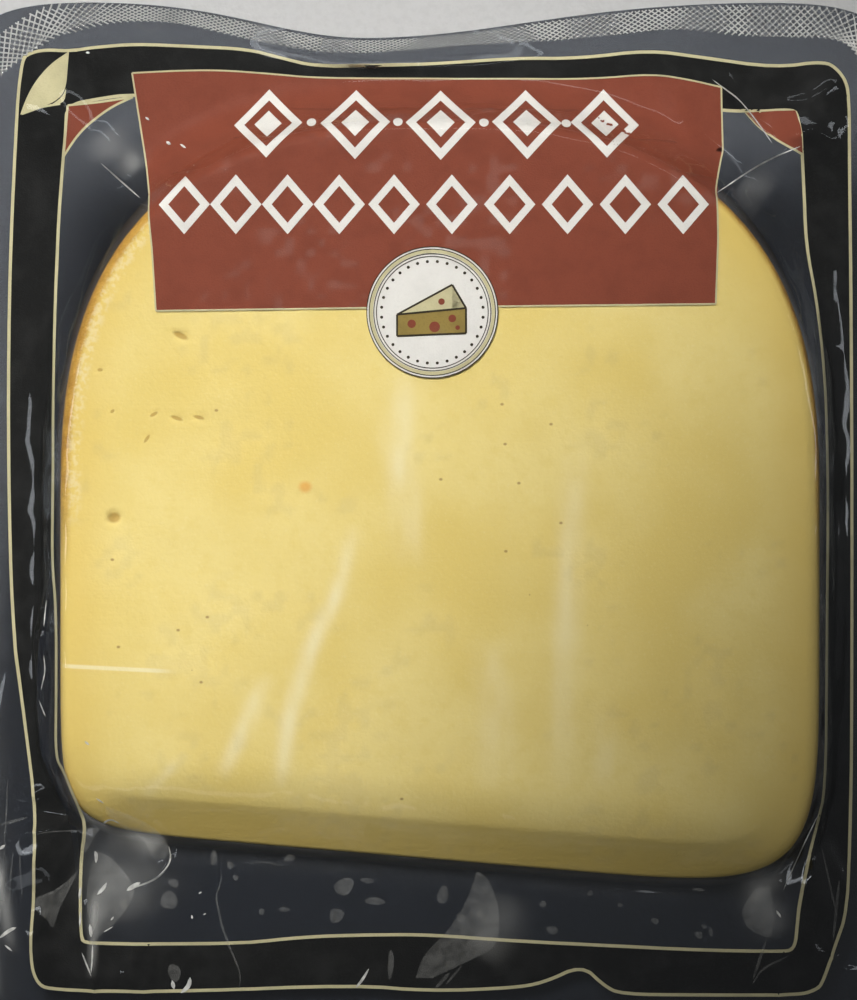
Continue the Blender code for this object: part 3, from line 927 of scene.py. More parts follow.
class Recipe:
    """A material's node tree, filled by expressions on wires and by one method for every other node."""

    def __init__(self, name):
        self.material = bpy.data.materials.new(name)
        self.material.use_nodes = True
        self.tree = self.material.node_tree
        self.tree.nodes.clear()

    def node(self, kind, settings=None, values=None, output=0):
        """Adds a node, with its settings first, then its sockets' values or wires. Gives one output."""
        made = self.tree.nodes.new(kind)
        for key, value in (settings or {}).items():
            setattr(made, key, value)
        for key, value in (values or {}).items():
            if isinstance(value, Wire):
                self.tree.links.new(value.socket, made.inputs[key])
            else:
                made.inputs[key].default_value = value
        return Wire(self, made.outputs[output])

    def place(self):
        """Object coordinates in mm in the face's own frame."""
        here = self.node("ShaderNodeTexCoord", output="Object")
        start = lean(np.zeros(1), np.full(1, -AXIS_DROP), np.zeros(1))[0] - ORIGIN
        turned = Matrix.Rotation(-CUT_ANGLE, 3, "X") @ Vector(start)
        shift = [-value / MM for value in turned]
        shift[1] -= AXIS_DROP / MM
        return self.node("ShaderNodeMapping", {"vector_type": "POINT"}, {
            "Vector": here, "Location": shift, "Rotation": (-CUT_ANGLE, 0, 0), "Scale": (1 / MM,) * 3})

    def part(self, vector, axis):
        return self.node("ShaderNodeSeparateXYZ", values={0: vector}, output=axis)

    def stretched(self, vector, scale):
        return self.node("ShaderNodeMapping", values={"Vector": vector, "Scale": scale})

    def noise(self, vector, scale, detail, roughness):
        values = {"Vector": vector, "Scale": scale, "Detail": detail, "Roughness": roughness}
        return self.node("ShaderNodeTexNoise", values=values)

    def cells(self, vector, scale):
        values = {"Vector": vector, "Scale": scale}
        return self.node("ShaderNodeTexVoronoi", values=values, output="Distance")

    def rise(self, value, low, high, start=0.0, end=1.0):
        """start below low, end above high, and a smooth curve between them."""
        values = {"Value": value, "From Min": low, "From Max": high, "To Min": start, "To Max": end}
        return self.node("ShaderNodeMapRange", {"interpolation_type": "SMOOTHSTEP"}, values)

    def mix(self, first, second, share):
        """Colours first and second mixed."""
        values = {0: share, 6: opaque(first), 7: opaque(second)}
        return self.node("ShaderNodeMix", {"data_type": "RGBA"}, values, output=2)

    def spot(self, place, centre, half_length, half_width, turn=0.0, soft=0.35):
        """1 inside an ellipse on the face, sizes in mm, and 0 outside it."""
        values = {"Vector": place, "Location": (*centre, 0), "Rotation": (0, 0, math.radians(turn)),
                  "Scale": (half_length, half_width, 1000)}
        inside = self.node("ShaderNodeMapping", {"vector_type": "TEXTURE"}, values)
        reach = self.node("ShaderNodeVectorMath", {"operation": "LENGTH"}, {0: inside}, output="Value")
        return self.rise(reach, 1 - soft, 1 + soft, 1.0, 0.0)

    def attribute(self, name):
        return self.node("ShaderNodeAttribute", {"attribute_name": name}, output="Fac")

    def bump(self, height, distance):
        values = {"Height": height, "Distance": distance, "Strength": 1.0}
        return self.node("ShaderNodeBump", values=values)

    def close(self, shader):
        """Ends the tree with its shader, and gives the material."""
        end = self.tree.nodes.new("ShaderNodeOutputMaterial")
        self.tree.links.new(shader.socket, end.inputs["Surface"])
        return self.material


class Tree(Recipe):
    """A Geometry Nodes tree, filled the same way as a material's."""

    def __init__(self, tree):
        self.tree = tree
        self.inputs = tree.nodes.new("NodeGroupInput")

    def given(self, name):
        return Wire(self, self.inputs.outputs[name])

    def finish(self, name, wire):
        self.tree.links.new(wire.socket, self.tree.nodes.new("NodeGroupOutput").inputs[name])

    def vector(self, x, y, z):
        return self.node("ShaderNodeCombineXYZ", values={"X": x, "Y": y, "Z": z})

    def join(self, wires):
        made = self.tree.nodes.new("GeometryNodeJoinGeometry")
        for wire in wires:
            self.tree.links.new(wire.socket, made.inputs[0])
        return Wire(self, made.outputs[0])


def opaque(colour):
    return colour if isinstance(colour, Wire) else (*tuple(colour)[:3], 1)


def cheese_material(settings):
    """Moist pale cut faces with faint mottling and wire marks, pale streaks of painted sheen, a few
    openings darkened with painted shade, and an orange rind.
    """
    recipe = Recipe("cheese")
    place = recipe.place()
    u, v = recipe.part(place, "X"), recipe.part(place, "Y")
    cloud = recipe.noise(place, 0.045, 2, 0.55)
    mottle = recipe.noise(place, 0.5, 3, 0.6)
    fine = recipe.noise(place, 3.2, 1, 0.6)
    paste = recipe.mix(settings.paste_pale, settings.paste_deep, recipe.rise(cloud, 0.35, 0.68))
    paste = recipe.mix(paste, settings.paste_deep, recipe.rise(mottle, 0.45, 0.75) * 0.35)
    paste = recipe.mix(paste, GRAIN_TINT, recipe.rise(fine, 0.55, 0.8) * 0.12)
    edge = recipe.attribute("edge")
    rim_glow = recipe.rise(edge, -9, -0.5)
    paste = recipe.mix(paste, settings.paste_edge, rim_glow * 0.75)
    orange = recipe.spot(place, ORANGE_SPOT, *ORANGE_SIZE, soft=0.6)
    paste = recipe.mix(paste, ORANGE_TINT, orange * 0.75)
    off_scratch = (v - SCRATCH_HEIGHT + (u - SCRATCH_FROM) * SCRATCH_SLOPE).size()
    scratch = recipe.rise(off_scratch, 0.12, 0.4, 1.0, 0.0)
    scratch = scratch * recipe.rise(u, -50, -48) * recipe.rise(u, -38, -34, 1.0, 0.0)
    paste = recipe.mix(paste, SCRATCH_TINT, scratch * 0.6)
    # Painted sheen: pale streaks painted into the cut face where the loose film's soft reflections lie
    paste = recipe.mix(paste, STREAK_SHEEN_TINT, recipe.attribute("painted_sheen") * 1.5)
    holes = 0.0
    for centre, length, width, turn, _ in EYES:
        holes = recipe.spot(place, centre, length, width, turn) + holes
    specks = 0.0
    for centre in SPECKS:
        specks = recipe.spot(place, centre, *SPECK_SIZE, soft=0.5) + specks
    # Tiny dark dots: painted shade of small pits that the mesh does not have
    pit_shade = recipe.cells(place, 0.16)
    specks = (specks + recipe.rise(pit_shade, 0.012, 0.02, 1.0, 0.0) * 0.7).at_most(1.0)
    holes = holes.at_most(1.0)
    # The openings are darkened with painted shade
    paste = recipe.mix(paste, HOLE_SHADE_TINT, holes * 0.72)
    paste = recipe.mix(paste, SPECK_TINT, specks * 0.65)
    rind = recipe.attribute("rind")
    worn = recipe.noise(place, 0.35, 3, 0.65)
    crust = recipe.mix(settings.rind, settings.rind_deep, recipe.rise(worn, 0.35, 0.7))
    crumbs = recipe.rise(edge, -3.4, -2.4) * recipe.rise(edge, -1.5, -0.9, 1.0, 0.0)
    crumbs = crumbs * recipe.rise(recipe.noise(place, 1.1, 2, 0.7), 0.42, 0.6)
    crumbs = crumbs * recipe.rise(u, -40, -30, 1.0, 0.0) * recipe.rise(v, -6, 2)
    colour = recipe.mix(paste, crust, rind)
    colour = recipe.mix(colour, CRUMB_TINT, crumbs * 0.35)
    strokes = recipe.noise(recipe.stretched(place, (0.06, 2.2, 1)), 1.0, 1, 0.6)
    grain = recipe.noise(place, 1.6, 2, 0.6)
    relief = strokes * 0.12 + grain * (rind * 2.0 + 0.6)
    shader = recipe.node("ShaderNodeBsdfPrincipled", values={
        "Base Color": colour,
        "Roughness": recipe.rise(mottle, 0.3, 0.7, 0.42, 0.54),
        "Specular IOR Level": 0.2,
        "Normal": recipe.bump(relief, 0.00012),
    })
    return recipe.close(shader)


def film_material(name, settings, sealed=False):
    """Glossy film: clear in front, smoky at the flange's back, milky where it hangs in pale layers, with
    painted sheen in part of the milkiness.
    """
    recipe = Recipe(name)
    place = recipe.place()
    facing = recipe.node("ShaderNodeLayerWeight", values={"Blend": 0.5}, output="Facing")
    mirror = (facing**5) * 0.94 + 0.05
    slack = recipe.attribute("slack")
    wrinkle = recipe.noise(place, 0.16, 0, 0.5)
    normal = recipe.bump(wrinkle, 0.0004)
    clear = recipe.node("ShaderNodeBsdfTransparent", values={"Color": opaque(settings.clear_tint)})
    smoky = recipe.node("ShaderNodeBsdfTransparent", values={"Color": opaque(settings.smoky_tint)})
    through = recipe.node("ShaderNodeMixShader", values={0: slack, 1: clear, 2: smoky})
    haze = recipe.attribute("haze").at_most(0.8)
    # On the seal's ribs the milkiness is partly the ribs' own milkiness and partly painted sparkle along
    # them
    if sealed:
        haze = haze + recipe.rise(wrinkle, 0.3, 0.7, 0.22, 0.42)
    milk = recipe.node("ShaderNodeBsdfPrincipled", values={
        "Base Color": opaque(settings.milk), "Roughness": 0.4, "Normal": normal})
    seen = recipe.node("ShaderNodeMixShader", values={0: haze, 1: through, 2: milk})
    gloss = recipe.node("ShaderNodeBsdfAnisotropic", values={
        "Color": (0.95, 0.97, 1, 1), "Roughness": settings.gloss_roughness, "Normal": normal})
    seen = recipe.node("ShaderNodeMixShader", values={0: mirror, 1: seen, 2: gloss})
    shadow = recipe.node("ShaderNodeLightPath", output="Is Shadow Ray")
    return recipe.close(recipe.node("ShaderNodeMixShader", values={0: shadow, 1: seen, 2: through}))


def ink_material(name, colour, second, roughness):
    """Printed ink: an even colour with a faint screen, slight thin places and a soft sheen."""
    recipe = Recipe(name)
    place = recipe.place()
    cover = recipe.noise(place, 0.25, 2, 0.6)
    grain = recipe.noise(place, 5.0, 0, 0.5)
    paint = recipe.mix(colour, second, recipe.rise(cover, 0.4, 0.75) * 0.6)
    paint = recipe.mix(paint, second, recipe.rise(grain, 0.5, 0.75) * 0.35)
    values = {
        "Base Color": paint,
        "Roughness": recipe.rise(cover, 0.3, 0.7, roughness, roughness + 0.12),
        "Specular IOR Level": 0.1,
        "Normal": recipe.bump(grain, 0.00003),
    }
    return recipe.close(recipe.node("ShaderNodeBsdfPrincipled", values=values))


def resample(points, count):
    """The line through points in mm, as count evenly spaced points in metres."""
    line = np.array(points, float) * MM
    lengths = np.concatenate([[0], np.cumsum(np.hypot(*np.diff(line, axis=0).T))])
    stops = np.linspace(0, lengths[-1], count)
    return np.stack([np.interp(stops, lengths, line[:, axis]) for axis in range(2)], axis=-1)


def smooth_line(points, passes=2):
    """An open line in mm with its corners cut, so that it runs in a curve."""
    line = np.array(points, float)
    for _ in range(passes):
        first = line[:-1] * 0.75 + line[1:] * 0.25
        second = line[:-1] * 0.25 + line[1:] * 0.75
        line = np.concatenate([line[:1], np.stack([first, second], axis=1).reshape(-1, 2), line[-1:]])
    return line


def smooth_loop(points, passes=2):
    """A closed line in mm with its corners cut, its last point the same as its first."""
    line = np.array(points, float)
    for _ in range(passes):
        after = np.roll(line, -1, axis=0)
        line = np.stack([line * 0.75 + after * 0.25, line * 0.25 + after * 0.75], axis=1).reshape(-1, 2)
    return np.concatenate([line, line[:1]])


class Ink:
    """Thin closed slabs of ink, draped under the film and gathered in one mesh."""

    def __init__(self, depth):
        self.depth = depth
        self.points = []
        self.faces = []

    def strip(self, first, second, across=None, along=None, closed=False):
        """A slab between two lines in mm, with the first line on its right as it runs."""
        steps = [np.diff(np.array(line, float), axis=0) for line in (first, second)]
        longest = max(np.hypot(*step.T).sum() * MM for step in steps)
        along = along or max(3, math.ceil(longest / INK_STEP))
        one, two = resample(first, along + 1), resample(second, along + 1)
        widest = np.hypot(*(one - two).T).max()
        across = across or max(1, math.ceil(widest / INK_STEP))
        share = np.linspace(0, 1, across + 1)[None, :, None]
        flat = blend(one[:, None, :], two[:, None, :], share)
        top_height = film_height(flat[..., 0], flat[..., 1]) - self.depth
        levels = (top_height, top_height - INK_THICKNESS)
        sides = [to_frame(flat[..., 0], flat[..., 1], level) for level in levels]
        start = sum(len(block) for block in self.points)
        index = np.arange(flat.shape[0] * flat.shape[1]).reshape(flat.shape[:2]) + start
        below = index + index.size
        self.points += [side.reshape(-1, 3) for side in sides]
        top = np.stack([index[:-1, :-1], index[1:, :-1], index[1:, 1:], index[:-1, 1:]], axis=-1)
        bottom = np.stack([below[:-1, :-1], below[:-1, 1:], below[1:, 1:], below[1:, :-1]], axis=-1)
        self.faces += [top.reshape(-1, 4), bottom.reshape(-1, 4)]
        for edge in (index[:, 0], index[::-1, -1]) + (() if closed else (index[-1], index[0, ::-1])):
            under = edge + index.size
            self.faces.append(np.stack([edge[:-1], under[:-1], under[1:], edge[1:]], axis=-1))
        return self

    def line(self, points, width, closed=False):
        """A printed line of even width in mm along points in mm."""
        spine = np.array(points, float)
        if closed:
            tangents = np.roll(spine[:-1], -1, axis=0) - np.roll(spine[:-1], 1, axis=0)
            tangents = np.concatenate([tangents, tangents[:1]])
        else:
            tangents = np.gradient(spine, axis=0)
        length = np.maximum(np.hypot(*tangents.T), 1e-9)[:, None]
        left = np.stack([-tangents[:, 1], tangents[:, 0]], axis=-1) / length * width / 2
        return self.strip(spine - left, spine + left, across=1, closed=closed)

    def taper(self, points, width):
        """A curved line that is width mm wide in its middle and runs out to a point at each end."""
        spine = smooth_line(points)
        tangents = np.gradient(spine, axis=0)
        left = np.stack([-tangents[:, 1], tangents[:, 0]], axis=-1) / np.hypot(*tangents.T)[:, None]
        half = width / 2 * np.sin(math.pi * np.linspace(0.04, 0.96, len(spine)))[:, None]
        return self.strip(spine - left * half, spine + left * half, across=2)

    def bubble(self, centre, half_width, half_height):
        """A flat oval, slightly uneven."""
        turn = np.linspace(0, 2 * math.pi, BUBBLE_SIDES + 1)
        uneven = 1 + 0.12 * np.sin(2 * turn + centre[0]) + 0.07 * np.sin(3 * turn + centre[1])
        oval = [half_width * np.cos(turn) * uneven, half_height * np.sin(turn) * uneven]
        return self.band(centre, np.stack(oval, axis=-1), (1, 0), BUBBLE_SIDES)

    def ring(self, centre, inner, outer):
        """A ring, or a disc where inner is 0, with radii in mm."""
        turn = np.radians(np.linspace(0, 360, RING_SIDES + 1))
        circle = np.stack([np.cos(turn), np.sin(turn)], axis=-1)
        return self.band(centre, circle, (outer, inner), RING_SIDES)

    def lozenge(self, centre, outer, inner, narrow):
        """A lozenge in outline, or whole where inner is 0, narrow times as wide as it is high."""
        angle = np.radians(np.arange(5) * 90)
        shape = np.stack([np.cos(angle) * narrow, np.sin(angle)], axis=-1)
        return self.band(centre, shape, (outer, inner), 4 * math.ceil(outer * MM * 1.5 / INK_STEP))

    def band(self, centre, shape, sizes, along):
        """The closed slab between two sizes of one shape round a centre."""
        outer, inner = (np.array(centre) + size * shape for size in sizes)
        return self.strip(outer, inner, along=along, closed=True)

    def piece(self, name, material, slot):
        mesh = bpy.data.meshes.new(name)
        mesh.from_pydata(np.concatenate(self.points).tolist(), [], np.concatenate(self.faces).tolist())
        build = bmesh.new()
        build.from_mesh(mesh)
        bmesh.ops.remove_doubles(build, verts=build.verts, dist=WELD)
        bmesh.ops.recalc_face_normals(build, faces=build.faces)
        build.to_mesh(mesh)
        build.free()
        mesh.shade_smooth()
        mesh.set_sharp_from_angle(angle=INK_CREASE)
        return make_piece(name, mesh, material)


def colour_setting(name, description, default):
    """A setting that holds a colour."""
    return bpy.props.FloatVectorProperty(
        name=name, description=description, subtype="COLOR", default=default, min=0, max=1)


def length_setting(name, description, default, least, most):
    """A setting that holds a length."""
    return bpy.props.FloatProperty(
        name=name, description=description, unit="LENGTH", default=default, min=least, max=most)


class CheeseSettings(bpy.types.PropertyGroup):
    paste_pale: colour_setting(
        "Pale paste", "Colour of the palest part of the cut face", (0.84, 0.69, 0.27))
    paste_deep: colour_setting(
        "Deep paste", "Colour of the fuller yellow patches of the cut face", (0.78, 0.61, 0.19))
    paste_edge: colour_setting(
        "Paste by the rind", "Colour of the drier cheese next to the rind", (0.76, 0.56, 0.15))
    rind: colour_setting(
        "Rind", "Colour of the rind on the rim and sides", (0.60, 0.345, 0.068))
    rind_deep: colour_setting(
        "Deep rind", "Colour of the darker patches of the rind", (0.43, 0.225, 0.04))


class FilmSettings(bpy.types.PropertyGroup):
    clear_tint: colour_setting(
        "Clear tint", "What the front film lets through", (0.975, 0.975, 0.97))
    smoky_tint: colour_setting(
        "Smoky tint", "What the back film lets through", (0.185, 0.20, 0.23))
    milk: colour_setting(
        "Milky film", "Colour of the film where it hangs in pale layers", (0.86, 0.86, 0.82))
    gloss_roughness: bpy.props.FloatProperty(
        name="Gloss roughness", description="Roughness of the film's reflections", subtype="FACTOR",
        default=0.055, min=0, max=1)
    crumple: bpy.props.FloatProperty(
        name="Crumple", description="Height of creases and ripples against their full height",
        subtype="FACTOR", default=1.0, min=0, max=1)


class PrintSettings(bpy.types.PropertyGroup):
    black: colour_setting(
        "Black", "Ink of the frame", SLOT_COLOURS["print_black"][:3])
    gold: colour_setting(
        "Pale gold", "Ink of the lines, the corner and the badge's rings", (0.60, 0.55, 0.33))
    terracotta: colour_setting(
        "Terracotta", "Ink of the panel and corner fields", SLOT_COLOURS["print_terracotta"][:3])
    white: colour_setting(
        "White", "Ink of the panel's motifs and the badge's field", SLOT_COLOURS["print_white"][:3])
    line_width: length_setting(
        "Line width", "Width of the frame's two lines", 0.42 * MM, 0.1 * MM, 2 * MM)
    motif_size: length_setting(
        "Motif size", "Half the height of the panel's larger lozenges", 5.0 * MM, 1 * MM, 6 * MM)


class SealSettings(bpy.types.PropertyGroup):
    pitch: length_setting(
        "Pitch", "Distance from rib to rib along the seal", 0.92 * MM, 0.5 * MM, 5 * MM)
    width: length_setting(
        "Seal width", "Width of the ribbed band", 4.4 * MM, 1 * MM, 8 * MM)
    rib_height: length_setting(
        "Rib height", "How far each rib stands out of the film", 0.16 * MM, 0.02 * MM, 1 * MM)
    rib_width: length_setting(
        "Rib width", "Width of each rib", 0.24 * MM, 0.05 * MM, 1 * MM)


class StageSettings(bpy.types.PropertyGroup):
    floor: colour_setting(
        "Floor", "Colour of the floor", (0.50, 0.50, 0.50))
    key_power: bpy.props.FloatProperty(
        name="Key light", description="Power of the main softbox", unit="POWER", default=0.152, min=0)
    glint_power: bpy.props.FloatProperty(
        name="Glint lights", description="Power of each narrow light that the film mirrors",
        unit="POWER", default=0.22, min=0)
    sky: bpy.props.FloatProperty(
        name="Sky", description="Strength of the even light from all round", default=0.125, min=0)


class PackSettings(bpy.types.PropertyGroup):
    cheese: bpy.props.PointerProperty(name="Cheese", description="Cheese colours", type=CheeseSettings)
    film: bpy.props.PointerProperty(name="Film", description="Film finish", type=FilmSettings)
    ink: bpy.props.PointerProperty(name="Print", description="Inks and motifs", type=PrintSettings)
    seal: bpy.props.PointerProperty(name="Seal", description="Ribs of the seal", type=SealSettings)
    stage: bpy.props.PointerProperty(name="Stage", description="Floor and lights", type=StageSettings)


def cheese_relief(u, v):
    """Soft swellings, dents and openings of the cut face."""
    height = 0
    for (cu, cv), reach, tall in SOFT_BUMPS:
        spread = ((u / MM - cu) ** 2 + (v / MM - cv) ** 2) / reach**2
        height = height + tall * MM * np.exp(-spread)
    for (cu, cv), length, width, turn, deep in EYES:
        cosine, sine = math.cos(math.radians(turn)), math.sin(math.radians(turn))
        along = ((u / MM - cu) * cosine + (v / MM - cv) * sine) / length
        across = ((v / MM - cv) * cosine - (u / MM - cu) * sine) / width
        height = height - deep * MM * np.exp(-((along**2 + across**2) ** 1.5) * 0.7)
    return height + 0.05 * MM * (lumps(u, v, 6 * MM, 91) - 0.5)


def build_cheese(settings):
    """The wedge itself, a hair inside the film, with its rind and edge marked for the material."""
    a, b, spread = square_grid(CHEESE_CELLS, CHEESE_CROWDING)
    rim_u, rim_v = pack_rim(a, b)
    level, _, _ = outline_level(rim_u, rim_v)
    edge_u, edge_v = rim_u / level, rim_v / level
    _, slope, _ = outline_level(edge_u, edge_v)
    share = spread * (1 - CHEESE_INSET * slope)
    u, v = edge_u * share, edge_v * share
    away, end = outside(edge_u * spread, edge_v * spread)
    height = wedge_top(away, end) - CHEESE_DEPTH + cheese_relief(u, v) * smooth_rise(-away, 0, 3 * MM)
    ring_u, ring_v = pack_rim(*square_rim(CHEESE_CELLS))
    level, _, _ = outline_level(ring_u, ring_v)
    _, end_rim = outside(ring_u / level * JUST_INSIDE, ring_v / level * JUST_INSIDE)
    first = wedge_top(np.zeros_like(end_rim), end_rim) - CHEESE_DEPTH
    rings = wall_rings(ring_u, ring_v, first, CHEESE_WALL_RINGS, CHEESE_INSET)
    front = to_frame(u, v, height)
    mesh = shell_mesh("cheese", front, CHEESE_CELLS, [to_frame(*ring) for ring in rings])
    width = blend(1.0, 1.9, smooth_rise(-u, 0, 30 * MM)) * MM
    shown = smooth_rise(v, -14 * MM, 8 * MM) + 0.25 * smooth_rise(-v, 30 * MM, 40 * MM)
    side_rind = smooth_rise(away, -width, -0.5 * width) * (1 - smooth_rise(end, 0.25, 0.6)) * shown
    wall_rind = 1 - smooth_rise(end_rim, 0.25, 0.6)
    none = np.zeros_like(wall_rind)
    rind = [side_rind.ravel()] + [wall_rind] * (len(rings) - 2) + [wall_rind * 0.5, none]
    edge = [away.ravel() / MM] + [none] * (len(rings) - 1) + [none - 2]
    write_attribute(mesh, "rind", np.concatenate(rind))
    write_attribute(mesh, "edge", np.concatenate(edge))
    # The painted sheen of the loose film's reflections, carried to the material
    write_attribute(mesh, "painted_sheen", np.concatenate([streak_sheen(u, v).ravel(), [0]]))
    return make_piece("cheese", mesh, cheese_material(settings.cheese), ("cheese_wedge",))


def build_film(settings):
    """The bag: a front film draped over the wedge, sealed at its rim to a film that wraps the back."""
    a, b, spread = square_grid(FILM_CELLS, FILM_CROWDING)
    rim_u, rim_v = pack_rim(a, b)
    u, v = blend(PACK_CENTRE[0], rim_u, spread), blend(PACK_CENTRE[1], rim_v, spread)
    away, _ = outside(u, v)
    front = to_frame(u, v, film_height(u, v))
    ring_u, ring_v = pack_rim(*square_rim(FILM_CELLS))
    level, _, _ = outline_level(ring_u, ring_v)
    _, slope, end = outline_level(ring_u / level, ring_v / level)
    inner = (1 + WEDGE_GAP * slope) / level
    rings = []
    for share in BACK_SHARES:
        back_u, back_v = ring_u * blend(inner, 1, share), ring_v * blend(inner, 1, share)
        reach, _ = outside(back_u, back_v)
        left = np.clip(1 - reach / BACK_REACH, 0, 1)
        drop = blend(BACK_DROP, END_BACK_DROP, end) * left**2
        rings.append((back_u, back_v, front_height(back_u, back_v) - FILM_THICKNESS - drop))
    flange_points = len(rings) * len(ring_u)
    rings += wall_rings(ring_u, ring_v, rings[-1][2], FILM_WALL_RINGS, 0)
    points = [to_frame(*ring) for ring in rings]
    mesh = shell_mesh("film_bag", front, FILM_CELLS, points)
    resting = 1 - smooth_rise(away, -2 * MM, 0)
    sparkle = lumps(u, v, 1.4 * MM, 33) * lumps(u, v, 7 * MM, 34)
    lifted = 0.035 * smooth_rise(sparkle, 0.42, 0.62) * resting
    # Pale layers, partly painted sheen of soft reflections
    lifted = lifted + layer_milk_and_sheen(u, v) * smooth_rise(away, -1 * MM, 0.5 * MM)
    write_attribute(mesh, "slack", np.concatenate([0 * away.ravel(), np.ones(flange_points), [0]]))
    write_attribute(mesh, "haze", np.concatenate([lifted.ravel(), [0]]))
    material = film_material("clear_film", settings.film)
    return make_piece("film_bag", mesh, material, ("film_flange",))


def mark_material(name, milk, least, most):
    """Clinging or creased film, or painted glints: partly clear and partly milky, unevenly."""
    recipe = Recipe(name)
    cloud = recipe.noise(recipe.place(), 0.9, 1, 0.6)
    clear = recipe.node("ShaderNodeBsdfTransparent")
    pale = recipe.node("ShaderNodeBsdfPrincipled", values={
        "Base Color": opaque(milk), "Roughness": 0.3, "Specular IOR Level": 0.4})
    share = recipe.rise(cloud, 0.3, 0.7, least, most)
    return recipe.close(recipe.node("ShaderNodeMixShader", values={0: share, 1: clear, 2: pale}))


def build_film_marks(settings):
    """Where the two films cling or are creased: patches, bubbles and faint creases, and white painted
    glints along sharp folds.
    """
    milk = settings.film.milk
    marks = Ink(MARK_DEPTH)
    for first, second in PATCHES:
        marks.strip(smooth_line(first), smooth_line(second))
    for centre, half_width, half_height in BUBBLES:
        marks.bubble(centre, half_width, half_height)
    for points, width in THREADS:
        marks.taper(points, width)
    marks.piece("film_marks", mark_material("film_marks", milk, 0.03, 0.06), "clear_film")
    # Painted glints: white marks along sharp folds that stand in for their highlights
    glints = Ink(GLINT_DEPTH)
    for points, width in PAINTED_GLINTS:
        glints.taper(points, width)
    glints.piece("film_crests", mark_material("film_crests", milk, 0.4, 0.75), "clear_film")


def panel_grid():
    """The panel as a net of points between its four sides, each row running from left to right."""
    bottom = resample(PANEL_BOTTOM, PANEL_COLUMNS + 1)
    top = resample(smooth_line(PANEL_TOP), PANEL_COLUMNS + 1)
    left, right = resample(PANEL_LEFT, PANEL_ROWS + 1), resample(PANEL_RIGHT, PANEL_ROWS + 1)
    up = np.linspace(0, 1, PANEL_ROWS + 1)[:, None, None]
    along = np.linspace(0, 1, PANEL_COLUMNS + 1)[None, :, None]
    ruled = blend(bottom[None], top[None], up) + blend(left[:, None], right[:, None], along)
    corners = blend(blend(bottom[0], bottom[-1], along), blend(top[0], top[-1], along), up)
    return ruled - corners


def build_frame_print(settings):
    """The black frame with its two pale gold lines and the gold corner piece."""
    ink = settings.ink
    outer, inner = smooth_loop(FRAME_OUTER), smooth_loop(FRAME_INNER)
    recess = np.array(BAND_RECESS)
    inside = inner.copy()
    low, high = RECESS_RANGE
    beside = (inner[:, 1] < high) & (inner[:, 1] > low) & (inner[:, 0] < RECESS_SIDE)
    order = np.argsort(recess[:, 1])
    pulled = np.interp(inner[beside, 1], recess[order, 1], recess[order, 0])
    inside[beside, 0] = np.minimum(pulled, inner[beside, 0])
    starts = (0, np.hypot(*(inside - outer[0]).T).argmin())
    inside = np.concatenate([inside[starts[1]:-1], inside[:starts[1] + 1]])
    black = ink_material("print_black", ink.black, (0.02, 0.02, 0.019), 0.32)
    gold = ink_material("print_gold", ink.gold, tuple(0.8 * part for part in ink.gold), 0.35)
    band = Ink(BAND_DEPTH)
    matched = match_loops(outer, inside)
    band.strip(matched[0], matched[1], across=FRAME_STRIPS, closed=True)
    band.piece("frame_band", black, "print_black")
    lines = Ink(LINE_DEPTH)
    width = ink.line_width / MM
    lines.line(outer, width, closed=True).line(inner, width, closed=True)
    lines.piece("frame_lines", gold, "print_gold")
    corner = Ink(LINE_DEPTH - INK_THICKNESS)
    corner.strip(smooth_line(CRESCENT_OUTER), smooth_line(CRESCENT_INNER))
    corner.strip(smooth_line(CORNER_OUTER), smooth_line(CORNER_INNER))
    corner.line(CRESCENT_SEAM, SEAM_WIDTH)
    corner.piece("corner_gold", gold, "print_gold")


def match_loops(first, second):
    """Two loops in mm, resampled so that each point faces its nearest way across."""
    one = resample(first, LOOP_SAMPLES + 1) / MM
    around = 4 * LOOP_SAMPLES
    dense = resample(second, around + 1) / MM
    gaps = np.array([np.hypot(*(dense - point).T).argmin() for point in one])
    turned = np.unwrap(gaps * 2 * math.pi / around) / (2 * math.pi) * around
    direction = 1 if turned[-1] > turned[0] else -1
    turned = np.maximum.accumulate(turned * direction) * direction
    kernel = np.ones(LOOP_BLUR + 1) / (LOOP_BLUR + 1)
    total = turned[-1] - turned[0]
    padded = np.concatenate([turned[-LOOP_BLUR - 1:-1] - total, turned, turned[1:LOOP_BLUR + 1] + total])
    smooth = np.convolve(padded, kernel, mode="same")[LOOP_BLUR:-LOOP_BLUR]
    whole = np.mod(smooth, around)
    stops = np.arange(around + 1)
    partner = np.stack([np.interp(whole, stops, dense[:, axis]) for axis in range(2)], axis=-1)
    partner[-1] = partner[0]
    return one, partner


